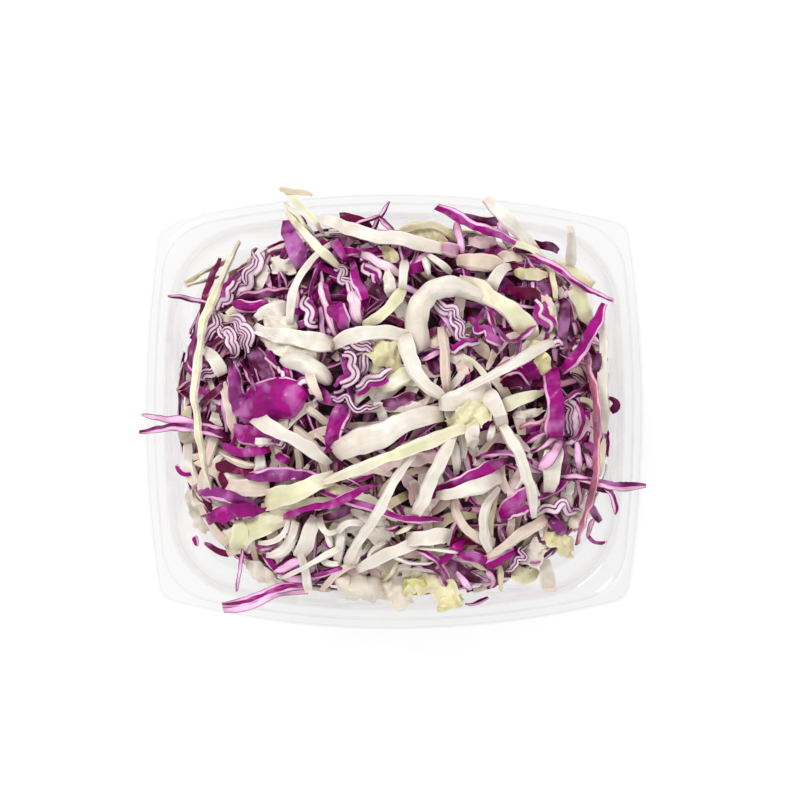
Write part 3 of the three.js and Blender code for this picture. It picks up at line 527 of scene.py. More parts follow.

# ---- Section of a strip ----
COLUMN_WIDTH = 1.1  # of the faces across a strip
TAPER_RATE = 1.6
TURN_LENGTH = 26  # wavelength of its twist
DEEP_UNEVEN = 0.12
DEEP_LENGTH = 11
END_DEEP = 0.75  # share of its depth where it is narrowest
EDGE_COLUMN = 0.88  # where the outermost faces begin, of half the width
WAVE_TURN = 0.9  # how aslant a wave may run across it
WAVE_MOST = 1.4  # usual height of three octaves of waves together
FLARE = 0.6  # most growth of width from end to end
CUP = 0.14  # most hollow of its faces, as a share of half the width
SLANT = 0.35  # most slant of its ends
COLUMNS = (4, 9)  # fewest and most faces across it
GRAINS = 50  # places in the streaks from which each strip takes its own
SHADE_LENGTH = 26
FADING_LENGTH = 48
FADING = (0.35, 0.5)  # mean and swing of how far a white skin fades into the flesh
LEAST_WIDE = 0.35
LEAST_CUT = 0.3  # of half the width, left by a bevelled edge
REST_WIDTH = 0.7  # share of its width that rests on what is below
LOOSE_REST_WIDTH = 0.8
COVER_WIDTH = 0.85  # share of its width that covers what is below
SET_ON = 0.8  # share of its half depth by which a strip lies over the one below
TOP_SHARE = 0.7  # share of its half depth that holds up the next
SAG = 0.05  # of a strip that hangs between high points
DRAPE_STEPS = 3

# ---- Slices through tight layers ----
LEAF_PITCH = (1.3, 1.6)  # mean width of its leaves
LEAF_SHARES = (0.55, 1.5)  # of that width, for each leaf
FOLD_LENGTH = (6.5, 11)
FOLD_SIZE = (1.1, 1.9)
FOLD_TIGHT = 0.26  # folds stay so wide that the layers inside them don't cross
FOLD_SWELL = (0.65, 0.55)  # mean and swing of a fold's size along the slice
FOLD_SWELL_LENGTH = 15
FOLD_SHIFT = 1.9  # of the folds along the slice, as an angle
SHIFT_LENGTH = 24
LEAF_TURN = 0.6  # with the folds, and the rest straight across
LEAF_ENDS = 5  # a fifth of its length, at most, may be missing at each end
LEAF_OVERLAP = 1.03
LEAF_SINK = (0.3, 1.2)  # how far a leaf lies below the slice's middle
FACING_SHARE = 0.16  # of a slice's leaves that turn their skin up

# ---- Picture ----
SENSOR = 36
LENS = 100
FRAME_WIDTH = 294.4  # of the picture, at the rim's level
AIM = (2.2, 4.2)
FLOOR_HALF = 3000
FLOOR_LEVEL = -0.4
WORLD_LIGHT = 0.93
# Place and size in metres, and watts
LAMPS = {"key": ((-0.45, 0.55, 1.0), 0.3, 6.5), "fill": ((0.8, -0.4, 0.8), 0.9, 1.5)}
LAMP_AIM = (0, 0, 0.04)


def mix(a, b, share):
    return a + (b - a) * share


def unit(vectors):
    return vectors / np.linalg.norm(vectors, axis=-1, keepdims=True)


def run_along(path):
    """How far each point of a path is from its start, along it."""
    return np.concatenate([[0], np.cumsum(np.linalg.norm(np.diff(path, axis=0), axis=1))])


def linear(colour):
    """An sRGB colour of 0 to 255 as linear light."""
    share = np.asarray(colour, float) / 255
    return np.where(share <= 0.04045, share / 12.92, ((share + 0.055) / 1.055) ** 2.4)


# ---- The bowed rectangle ----
def arc(middle, radius, start, end, steps):
    angles = start + (end - start) * np.arange(steps) / steps
    return np.column_stack([middle[0] + radius * np.cos(angles), middle[1] + radius * np.sin(angles)])


def corner_middle(a, reach_a, b, reach_b):
    """The point in the first quadrant at the given distances from a and b."""
    span = math.dist(a, b)
    along = (reach_a**2 - reach_b**2 + span**2) / (2 * span)
    across = math.sqrt(reach_a**2 - along**2)
    ahead_x, ahead_y = (b[0] - a[0]) / span, (b[1] - a[1]) / span
    choices = [
        (a[0] + along * ahead_x - side * across * ahead_y, a[1] + along * ahead_y + side * across * ahead_x)
        for side in (1, -1)
    ]
    return next(point for point in choices if min(point) > 0)


def bowed_outline(inset, corner):
    """Outline of a rectangle with bowed sides, set in from the lip, anticlockwise from +X."""
    half_x = TUB_LENGTH / 2 - inset
    half_y = TUB_WIDTH / 2 - inset
    radius_x = SIDE_RADIUS_X - inset
    radius_y = SIDE_RADIUS_Y - inset
    side = (half_x - radius_x, 0)
    top = (0, half_y - radius_y)
    middle = corner_middle(side, radius_x - corner, top, radius_y - corner)
    side_end = math.atan2(middle[1] - side[1], middle[0] - side[0])
    top_end = math.atan2(middle[1] - top[1], middle[0] - top[0])
    quarter = np.vstack(
        [
            arc(side, radius_x, 0, side_end, POINTS_PER_ARC),
            arc(middle, corner, side_end, top_end, POINTS_PER_CORNER),
            arc(top, radius_y, top_end, math.pi / 2, POINTS_PER_ARC),
        ]
    )
    second = np.vstack([[[0, half_y]], quarter[:0:-1] * [-1, 1]])
    upper = np.vstack([quarter, second])
    return np.vstack([upper, -upper])


def ring_at(inset, corner, level):
    outline = bowed_outline(inset, corner)
    return np.column_stack([outline, np.full(len(outline), level)])


def loft(rings, first, last):
    """Vertices and faces of a closed body through stacked rings, ended by two middle points."""
    count = len(rings[0])
    vertices = np.vstack([*rings, [first], [last]])
    near = np.arange(count)
    far = (near + 1) % count
    quads = [
        np.column_stack([near + i * count, far + i * count, far + (i + 1) * count, near + (i + 1) * count])
        for i in range(len(rings) - 1)
    ]
    start = len(rings) * count
    top = (len(rings) - 1) * count
    caps = [(start, int(b), int(a)) for a, b in zip(near, far)]
    caps += [(start + 1, int(a) + top, int(b) + top) for a, b in zip(near, far)]
    return vertices, [*np.vstack(quads).tolist(), *caps]


def add_piece(name, vertices, faces, material):
    """A piece of the scene, smooth but for edges where its faces turn sharply."""
    mesh = bpy.data.meshes.new(name)
    mesh.from_pydata((vertices * MM).tolist(), [], faces)
    mesh.materials.append(material)
    mesh.shade_smooth()
    mesh.set_sharp_from_angle(angle=math.radians(SHARP_ANGLE))
    piece = bpy.data.objects.new(name, mesh)
    bpy.context.collection.objects.link(piece)
    return piece


# ---- Heap surface ----
def superellipse(x, y, half_x, half_y, power):
    """0 in the middle of a rounded rectangle, 1 at its edge."""
    return (np.abs(x / half_x) ** power + np.abs(y / half_y) ** power) ** (1 / power)


def heap_level(x, y):
    dome = 1 - superellipse(x, y, HEAP_HALF_X, HEAP_HALF_Y, HEAP_POWER) ** DOME_POWER
    lumps = LUMP * np.sin(x / LUMP_LENGTH) * np.cos(y / LUMP_LENGTH)
    return EDGE_LEVEL + (CROWN_LEVEL - EDGE_LEVEL) * dome + lumps


def opening_reach(x, y):
    return superellipse(x, y, TUB_LENGTH / 2 - OPENING_INSET, TUB_WIDTH / 2 - OPENING_INSET, OPENING_POWER)


def rim_level(x, y, half_depth):
    """Lowest level at which a strip clears the rim: over it outside the opening, falling away inside it."""
    inside = (1 - opening_reach(x, y)) * (TUB_WIDTH / 2 - OPENING_INSET)
    return TUB_HEIGHT + OVER_RIM + half_depth - np.maximum(0, inside - RIM_LEAN_START) * RIM_LEAN


def heap_outline(inset):
    """Plan outline of the heap inside the tub, set in from the foot of the wall."""
    return bowed_outline(FOOT_INSET + inset, HEAP_CORNER - inset)


def outside_heap(x, y, margin):
    """True if any point lies outside the heap's plan outline, less a margin."""
    outline = heap_outline(margin)
    edge = np.roll(outline, -1, axis=0) - outline
    to_x = np.asarray(x)[:, None] - outline[:, 0]
    to_y = np.asarray(y)[:, None] - outline[:, 1]
    return bool((edge[:, 0] * to_y - edge[:, 1] * to_x < 0).any())


class Field:
    """Level of the topmost shred at each cell of a plan grid."""

    def __init__(self):
        self.shape = (int(2 * FIELD_HALF_X / FIELD_CELL), int(2 * FIELD_HALF_Y / FIELD_CELL))
        x = (np.arange(self.shape[0]) + 0.5) * FIELD_CELL - FIELD_HALF_X
        y = (np.arange(self.shape[1]) + 0.5) * FIELD_CELL - FIELD_HALF_Y
        self.level = heap_level(*np.meshgrid(x, y, indexing="ij")) - FILL_DEPTH

    def cells(self, x, y):
        column = np.clip(((x + FIELD_HALF_X) / FIELD_CELL).astype(int), 0, self.shape[0] - 1)
        row = np.clip(((y + FIELD_HALF_Y) / FIELD_CELL).astype(int), 0, self.shape[1] - 1)
        return column, row

    def footprint(self, path, half):
        offsets = np.linspace(-1, 1, FIELD_PROBES) * half
        points = path[:, None, :2] + flat_across(path)[:, None, :2] * offsets[None, :, None]
        return self.cells(points[..., 0], points[..., 1])

    def under(self, path, half):
        return self.level[self.footprint(path, half)].max(axis=1)

    def lay(self, path, half, half_depth):
        where = self.footprint(path, half)
        top = path[:, 2] + half_depth * TOP_SHARE
        np.maximum.at(self.level, where, np.broadcast_to(top[:, None], where[0].shape))


def draped(floor, step):
    """A strip's level over a floor: it follows the high points, and hangs between them."""
    level = floor.copy()
    for _ in range(DRAPE_STEPS * len(floor)):
        bridged = (level[:-2] + level[2:]) / 2 - SAG * step
        level[1:-1] = np.maximum(floor[1:-1], bridged)
    return level


# ---- Sweeping a strip ----
def flat_across(path):
    ahead = unit(np.gradient(path, axis=0))
    return unit(np.column_stack([-ahead[:, 1], ahead[:, 0], np.zeros(len(path))]))


def waves(along, aside, rng, length):
    """A smooth random surface, about -1 to 1, over the run and the width of a strip."""
    total = 0
    for octave in range(3):
        scale = 2**octave
        turn = rng.uniform(-WAVE_TURN, WAVE_TURN)
        phase, other = rng.uniform(0, math.tau), rng.uniform(0, math.tau)
        swell = np.sin(math.tau * along * scale / length + turn * aside * scale + phase)
        total = total + swell * np.cos(aside * 0.5 * scale + other) / scale
    return total / WAVE_MOST


def ripple(along, rng, length):
    return waves(along, 0 * along, rng, length)


def tapered(strip, share):
    """A strip's width along it, as a share of its full width."""
    return mix(strip["tip"], 1, np.minimum(1, np.sin(math.pi * share) * TAPER_RATE))


def strip_faces(rings, columns):
    """Faces of a closed strip: round it from ring to ring, then its two ends."""
    ring = 2 * (columns + 1)
    k = np.arange(ring)
    after = (k + 1) % ring
    i = np.arange(rings - 1)[:, None] * ring
    sides = np.stack([i + k, i + after, i + ring + after, i + ring + k], axis=-1).reshape(-1, 4)
    top = np.arange(columns)
    under = ring - 1 - top
    first = np.column_stack([top, under, under - 1, top + 1])
    last = np.column_stack([top, top + 1, under - 1, under]) + (rings - 1) * ring
    return np.vstack([sides, first, last])


class Shreds:
    """Collects strips into one mesh."""

    def __init__(self):
        self.vertices, self.faces = [], []
        self.marks = {"zone": [], "grain": [], "skin": [], "flesh": []}
        self.count = 0

    def sweep(self, path, strip, rng, up=(0, 0, 1)):
        """Adds a closed strip of rectangular section with softened edges along a path."""
        rings = len(path)
        columns = strip["columns"]
        share = np.linspace(0, 1, rings)
        along = run_along(path)
        ahead = unit(np.gradient(path, axis=0))
        across = unit(np.cross(np.broadcast_to(up, path.shape), ahead))
        roll = math.radians(strip["roll"]) + strip["turn"] * ripple(along, rng, TURN_LENGTH)
        across = across * np.cos(roll)[:, None] + np.cross(ahead, across) * np.sin(roll)[:, None]
        rise = np.cross(ahead, across)
        taper = tapered(strip, share) * (1 + strip["flare"] * (share - 0.5))
        swells = [1 + strip["uneven"] * ripple(along, rng, strip["swell"]) for _ in range(2)]
        half = strip["wide"] / 2
        halves = [half * taper * np.maximum(LEAST_WIDE, swell) * strip["thin"] for swell in swells]
        swell = 1 + DEEP_UNEVEN * ripple(along, rng, DEEP_LENGTH)
        deep = strip["deep"] / 2 * swell * mix(END_DEEP, 1, taper)
        u = np.linspace(1, -1, columns + 1)
        u[1], u[-2] = (EDGE_COLUMN, -EDGE_COLUMN) if columns > 2 else (u[1], u[-2])
        wave = waves(along[:, None], u * half, rng, strip["wave"]) * strip["ruffle"]
        wave = wave + strip["cup"] * (1 - u**2) * (half * taper)[:, None]
        frills = [ripple(along, rng, strip["frill_length"])[:, None] for _ in range(2)]
        wave = wave + strip["frill"] * u**2 * np.where(u > 0, frills[0], frills[1])
        soft = np.where(np.abs(u) == 1, strip["edge"], 1.0)
        faces = []
        for side in (1, -1):
            cut = [np.maximum(0, side * bevel) * 2 * deep for bevel in strip["bevels"]]
            left, right = (np.maximum(half - trim, half * LEAST_CUT) for half, trim in zip(halves, cut))
            aside = np.where(u > 0, u * left[:, None], u * right[:, None])
            slant = strip["slant"] * aside * (2 * share[:, None] - 1) ** 2
            middle = path[:, None] + across[:, None] * aside[..., None] + ahead[:, None] * slant[..., None]
            middle = middle + rise[:, None] * (wave + side * deep[:, None] * soft)[..., None]
            faces.append((middle, aside - ((left - right) / 2)[:, None], (left + right) / 2))
        (upper, upper_aside, upper_half), (lower, lower_aside, lower_half) = faces
        points = np.concatenate([upper, lower[:, ::-1]], axis=1)
        ring = 2 * (columns + 1)
        self.vertices.append(points.reshape(-1, 3))
        self.faces.append(self.count + strip_faces(rings, columns))
        self.count += rings * ring
        offsets = np.concatenate([upper_aside, lower_aside[:, ::-1]], axis=1)
        reaches = np.repeat(np.column_stack([upper_half, lower_half]), columns + 1, axis=1)
        self.mark(strip, offsets, reaches, deep, along)
        self.colour(strip, along, ring, rng)

    def mark(self, strip, offsets, reaches, deep, along):
        """Corner marks: is the face cut flesh, how far from its middle line, its reach, and the run."""
        rings, ring = offsets.shape
        columns = ring // 2 - 1
        k = np.arange(ring)
        row = np.arange(rings - 1)[:, None, None] + np.array([0, 0, 1, 1])
        row, column = np.broadcast_arrays(row, np.stack([k, (k + 1) % ring, (k + 1) % ring, k], axis=-1))
        broad = ((k != columns) & (k != ring - 1))[:, None]
        side = np.where(k == columns, 1.0, -1.0)[:, None] * np.array([1, -1, -1, 1])
        offset = np.where(broad, offsets[row, column], side * deep[row])
        reach = np.where(broad, reaches[row, column], deep[row])
        cut = np.broadcast_to(broad == strip["cut_broad"], offset.shape)
        self.mark_faces(strip, cut, offset, reach, along[row])
        ends = ((0, (0, 0, 1, 1), (1, -1, -1, 1)), (rings - 1, (0, 1, 1, 0), (1, 1, -1, -1)))
        for row, across, depth in ends:
            column = np.arange(columns)[:, None] + across
            edge_on = np.broadcast_to(np.multiply(depth, deep[row]), column.shape)
            offset = offsets[row, column] if strip["cut_broad"] else edge_on
            reach = np.full(offset.shape, reaches[row, 0] if strip["cut_broad"] else deep[row])
            self.mark_faces(strip, np.ones(offset.shape), offset, reach, offset)

    def mark_faces(self, strip, cut, offset, reach, along):
        self.marks["zone"].append(np.stack([cut, offset, reach], axis=-1).reshape(-1, 3))
        seed = np.full(offset.shape, strip["seed"])
        self.marks["grain"].append(np.stack([along, offset, seed], axis=-1).reshape(-1, 3))

    def colour(self, strip, along, ring, rng):
        """Skin and flesh colours at each point: uneven along the run, with painted shade deep in the heap."""
        shade = 1 + strip["shade"] * ripple(along, rng, SHADE_LENGTH)
        paler = np.clip(FADING[0] + FADING[1] * ripple(along, rng, FADING_LENGTH), 0, 1) * strip["fading"]
        painted_shade = np.broadcast_to(strip["painted_shade"], len(along))[:, None]
        # painted shade: the colour turns darker and warmer the deeper the strip lies in the heap
        shade = shade[:, None] * mix(1, np.array(DEPTH_SHADE_TINT), painted_shade)
        skin, flesh = linear(strip["skin"]), linear(strip["flesh"])
        for title, colour in (("skin", mix(skin, flesh, paler[:, None])), ("flesh", flesh)):
            rows = np.clip(colour * shade, 0, 1)
            self.marks[title].append(np.repeat(np.column_stack([rows, np.ones(len(rows))]), ring, axis=0))

    def build(self, name, material):
        piece = add_piece(name, np.vstack(self.vertices), np.vstack(self.faces).tolist(), material)
        for title, values in self.marks.items():
            colour = title in ("skin", "flesh")
            form, domain = ("FLOAT_COLOR", "POINT") if colour else ("FLOAT_VECTOR", "CORNER")
            attribute = piece.data.attributes.new(title, form, domain)
            flat = np.vstack(values).astype(np.float32).ravel()
            attribute.data.foreach_set("color" if colour else "vector", flat)
        return piece


# ---- Strips ----
def full_strip(kind, changes, rng, columns=None):
    """All that sweep needs to know of a strip."""
    made = {**KINDS[kind], "kind": kind, "bow": 0, "sway": 0, "roll": 0, "cup": 0, "thin": 1, "painted_shade": 0}
    made["flare"] = rng.uniform(-FLARE, FLARE) if kind != "slice" else 0
    made.update(changes)
    made["skin"], made["flesh"] = TONES[kind, made["tone"]]
    made["cut_broad"] = made["tone"] in CUT_UP or kind == "slice"
    made["columns"] = columns or int(np.clip(round(made["wide"] / COLUMN_WIDTH), *COLUMNS))
    made["bevels"] = (rng.uniform(-made["lean"], made["lean"]), rng.uniform(-made["lean"], made["lean"]))
    made["cup"] += rng.uniform(-CUP, CUP)
    made["slant"] = rng.uniform(-SLANT, SLANT)
    made["seed"] = rng.uniform(0, GRAINS)
    return made


def section_halves(strip):
    """Half the width and half the depth of a strip as it lies, rolled about its run."""
    roll = math.radians(strip["roll"])
    wide, deep = strip["wide"] / 2, strip["deep"] / 2
    tilt, flat = abs(math.sin(roll)), abs(math.cos(roll))
    return wide * flat + deep * tilt, wide * tilt + deep * flat


def plan_path(ends, bow, sway, step, rng, wander):
    """Plan of a strip from end to end: bowed to its left, swaying in an S and wandering a little."""
    start_x, start_y, end_x, end_y = ends
    chord = math.dist(ends[:2], ends[2:])
    count = max(LEAST_STEPS, math.ceil((chord + abs(bow)) / step)) + 1
    share = np.linspace(0, 1, count)
    aside = bow * 4 * share * (1 - share) + sway * np.sin(math.tau * share)
    aside = aside + wander * ripple(share * chord, rng, WANDER_LENGTH)
    left_x, left_y = -(end_y - start_y) / chord, (end_x - start_x) / chord
    return share, mix(start_x, end_x, share) + aside * left_x, mix(start_y, end_y, share) + aside * left_y


def shown_path(strip, ends, rng):
    """A placed strip's path: arched from end to end over the heap, and clear of the rim."""
    share, x, y = plan_path(ends, strip["bow"], strip["sway"], strip["step"], rng, strip["wander"])
    arch = np.sqrt(np.sin(math.pi * share))
    lying = heap_level(x, y) - END_SINK + (strip["level"] * LAYER + END_SINK) * arch
    lying = lying + SWAY * ripple(share * math.dist(ends[:2], ends[2:]), rng, SWAY_LENGTH) * arch
    over_rim = rim_level(x, y, section_halves(strip)[1])
    level = over_rim + RIM_SOFT * np.logaddexp(0, (lying - over_rim) / RIM_SOFT)
    return np.column_stack([x, y, level])


def settle(path, strip, field):
    """Lifts a placed strip over what it crosses, and adds it to the field."""
    half, half_depth = section_halves(strip)
    step = float(np.linalg.norm(np.diff(path[:, :2], axis=0), axis=1).mean())
    below = field.under(path, half * REST_WIDTH) + half_depth * SET_ON
    lift = draped(np.maximum(path[:, 2], below), step) - path[:, 2]
    path[:, 2] += MOST_LIFT * np.tanh(lift / MOST_LIFT)
    field.lay(path, half * COVER_WIDTH, half_depth)


def slice_leaves(strip, path, rng):
    """The leaves of a cut through tight layers: folded ribbons on edge, nested side by side."""
    count = max(2, round(strip["wide"] / rng.uniform(*LEAF_PITCH)))
    parts = np.array([rng.uniform(*LEAF_SHARES) for _ in range(count)])
    parts *= strip["wide"] / parts.sum()
    places = np.cumsum(parts) - parts / 2 - strip["wide"] / 2
    across = flat_across(path)
    along = run_along(path)
    taper = tapered(strip, np.linspace(0, 1, len(path)))
    fold = rng.uniform(*FOLD_LENGTH)
    size = min(rng.uniform(*FOLD_SIZE), (fold / math.tau) ** 2 / (strip["wide"] * FOLD_TIGHT))
    swell = size * (FOLD_SWELL[0] + FOLD_SWELL[1] * ripple(along, rng, FOLD_SWELL_LENGTH))
    phase = rng.uniform(0, math.tau)
    folds = swell * np.sin(math.tau * along / fold + phase + FOLD_SHIFT * ripple(along, rng, SHIFT_LENGTH))
    base = path + across * folds[:, None]
    own = flat_across(base)
    outward = unit(mix(across, own, LEAF_TURN))
    thin = np.sum(outward * own, axis=1)
    for place, pitch in zip(places, parts):
        line = base + outward * (place * taper)[:, None]
        line[:, 2] -= rng.uniform(*LEAF_SINK)
        start = rng.randint(0, len(path) // LEAF_ENDS)
        end = len(path) - rng.randint(0, len(path) // LEAF_ENDS)
        ribbon = {**strip, "wide": pitch * LEAF_OVERLAP, "columns": 2, "thin": thin[start:end]}
        ribbon.update(seed=rng.uniform(0, GRAINS), slant=0, cup=0, turn=0, bevels=(0, 0))
        if rng.random() < FACING_SHARE:
            ribbon.update(cut_broad=False, skin=TONES["leaf", "bright"][0])
        yield line[start:end], ribbon


def layer_shown(piles, field, rng):
    """Lays the placed strips on the loose ones, from the lowest level up."""
    for kind, ends, changes in sorted(SHOWN, key=lambda row: row[2]["level"]):
        strip = full_strip(kind, changes, rng)
        path = shown_path(strip, ends, rng)
        settle(path, strip, field)
        if kind == "slice":
            for line, ribbon in slice_leaves(strip, path, rng):
                piles[kind].sweep(line, ribbon, rng)
        else:
            # painted shade on the ends, where the strip dips into the heap
            strip["painted_shade"] = PAINTED_END_SHADE * (1 - np.sqrt(np.sin(math.pi * np.linspace(0, 1, len(path)))))
            piles[kind].sweep(path, strip, rng)


def random_strip(rng, y, ruffle=1.0, rolled=False):
    """A strip of the heap's mix of kinds at y, narrower and smoother than the placed ones."""
    light = rng.random() < LIGHT_SHARE - LIGHT_SLOPE * y
    choices = LIGHT_MIX if light else RED_MIX
    kind, tone, _ = rng.choices(choices, [weight for _, _, weight in choices])[0]
    usual = KINDS[kind]
    changes = {
        "tone": tone,
        "wide": usual["wide"] * rng.triangular(*LOOSE_WIDTH),
        "deep": usual["deep"] * rng.uniform(*LOOSE_DEPTH),
        "frill": usual["frill"] * LOOSE_FRILL,
        "ruffle": usual["ruffle"] * LOOSE_RUFFLE * ruffle,
    }
    if kind == "leaf":
        roll = rng.choice([0, 0, *(rng.uniform(*turns) for turns in LOOSE_ROLLS)])
        changes["roll"] = roll if rolled else 0
    return full_strip(kind, changes, rng, COARSE_COLUMNS)


def loose_plan(x, y, span, heading, bow, wander, rng):
    """Plan of a loose shred about a point."""
    run_x, run_y = span / 2 * math.cos(heading), span / 2 * math.sin(heading)
    ends = (x - run_x, y - run_y, x + run_x, y + run_y)
    return plan_path(ends, span * rng.uniform(-bow, bow), 0, COARSE_STEP, rng, wander)[1:]


def spot_at_edge(edge, rng):
    """Place, heading and span for a shred that lies along the heap's edge."""
    i = rng.randrange(len(edge))
    x, y = edge[i] * rng.uniform(0.9, 1)
    next_x, next_y = edge[(i + 1) % len(edge)] - edge[i]
    heading = math.atan2(next_y, next_x) + rng.gauss(0, EDGE_TURN)
    return x, y, heading, rng.uniform(*EDGE_SPAN)


def lowest_spot(field, rng):
    """Place, heading and span for a shred where the heap has most room left, of a few places."""
    spots = [[rng.uniform(-half, half) for half in (SPOT_HALF_X, SPOT_HALF_Y)] for _ in range(SPOTS)]
    room = [heap_level(x, y) - field.level[field.cells(np.array(x), np.array(y))] for x, y in spots]
    x, y = spots[int(np.argmax(room))]
    return x, y, rng.uniform(0, math.tau), rng.uniform(*SHRED_SPAN)


def layer_fill(piles, field, rng):
    """Loose shreds dropped on the core, each where the heap is lowest so far."""
    made = tries = 0
    edge = heap_outline(EDGE_INSET)
    while made < TOP_SHREDS and tries < TOP_TRIES * TOP_SHREDS:
        tries += 1
        at_edge = rng.random() < EDGE_SHARE
        x, y, heading, span = spot_at_edge(edge, rng) if at_edge else lowest_spot(field, rng)
        strip = random_strip(rng, y, rolled=True)
        path_x, path_y = loose_plan(x, y, span, heading, TOP_BOW, TOP_WANDER, rng)
        if outside_heap(path_x, path_y, strip["wide"] / 2 + TOP_MARGINS[at_edge]):
            continue
        path = np.column_stack([path_x, path_y, 0 * path_x])
        half = strip["wide"] / 2
        half_depth = section_halves(strip)[1]
        level = draped(field.under(path, half * LOOSE_REST_WIDTH), COARSE_STEP) + half_depth * SET_ON
        surface = heap_level(path_x, path_y)
        if (level + half_depth - surface).max() > FILL_TOP:
            continue
        path[:, 2] = level
        # painted shade: a loose shred's colour darkens with its depth under the heap's surface
        strip["painted_shade"] = np.clip((surface - level) / FILL_DEPTH, 0, 1)
        field.lay(path, half, half_depth)
        piles[strip["kind"]].sweep(path, strip, rng)
        made += 1


def wall_surface():
    """Inner face of the wall, as a function of the run round it and the level, and the length of that run."""
    low, high = (np.vstack([outline, outline[:1]]) for outline in (heap_outline(0), heap_outline(-HEAP_LEAN)))
    run = run_along(low)
    foot_level, top_level = WALL + FOOT_RADIUS, TUB_HEIGHT - SHOULDER_DROP - SHOULDER_STEP

    def place(along, level):
        share = np.clip((level - foot_level) / (top_level - foot_level), -0.1, 1.1)
        where = np.mod(along, run[-1])
        foot, top = ([np.interp(where, run, axis) for axis in outline.T] for outline in (low, high))
        return mix(np.array(foot), np.array(top), share).T

    return place, run[-1]


def line_wall(piles, rng):
    """Shreds pressed flat against the clear wall, two or three deep."""
    place, around = wall_surface()
    for i in range(WALL_SHREDS):
        strip = random_strip(rng, LIGHTER_Y, ruffle=0.5)
        span = rng.uniform(*WALL_SPAN)
        slope = rng.gauss(0, WALL_SLOPE)
        share = np.linspace(0, 1, max(LEAST_STEPS, math.ceil(span / COARSE_STEP)) + 1)
        middle = around * ((i * WALL_SPREAD[0] + rng.uniform(0, WALL_JITTER[0])) % 1)
        along = middle + (share - 0.5) * span * math.cos(slope)
        level = mix(*WALL_LEVELS, (i * WALL_SPREAD[1] + rng.uniform(0, WALL_JITTER[1])) % 1)
        level = level + (share - 0.5) * span * math.sin(slope)
        level = level + span * rng.uniform(-WALL_BOW, WALL_BOW) * 4 * share * (1 - share)
        level = np.clip(level, WALL_LOWEST + strip["wide"] / 2, WALL_HIGHEST - strip["wide"] / 2)
        ahead = unit(place(along + 0.5, level) - place(along - 0.5, level))
        out = np.column_stack([ahead[:, 1], -ahead[:, 0]])
        depth = strip["deep"] / 2 + WALL_GAP + (i % WALL_PLIES) * PLY
        depth = depth + WALL_WAVE * np.abs(ripple(share * span, rng, WALL_WAVE_LENGTH))
        depth = depth + np.clip(FOOT_BEND - level, 0, FOOT_RADIUS) ** 2 * BEND_IN
        path = np.column_stack([place(along, level) - out * depth[:, None], level])
        piles[strip["kind"]].sweep(path, strip, rng, up=np.column_stack([out, 0 * share]))


def cover_floor(piles, rng):
    """Shreds that lie flat on the clear floor."""
    made = 0
    while made < FLOOR_SHREDS:
        strip = random_strip(rng, 0, ruffle=0.4)
        span = rng.uniform(*FLOOR_SPAN)
        heading = rng.uniform(0, math.tau)
        x, y = rng.uniform(-FLOOR_HALF_X, FLOOR_HALF_X), rng.uniform(-FLOOR_HALF_Y, FLOOR_HALF_Y)
        path_x, path_y = loose_plan(x, y, span, heading, FLOOR_BOW, FLOOR_WANDER, rng)
        if outside_heap(path_x, path_y, FLOOR_MARGIN):
            continue
        level = WALL + WALL_GAP + strip["deep"] / 2 + (made % FLOOR_PLIES) * FLOOR_PLY
        path = np.column_stack([path_x, path_y, np.full(len(path_x), level)])
        piles[strip["kind"]].sweep(path, strip, rng)
        made += 1


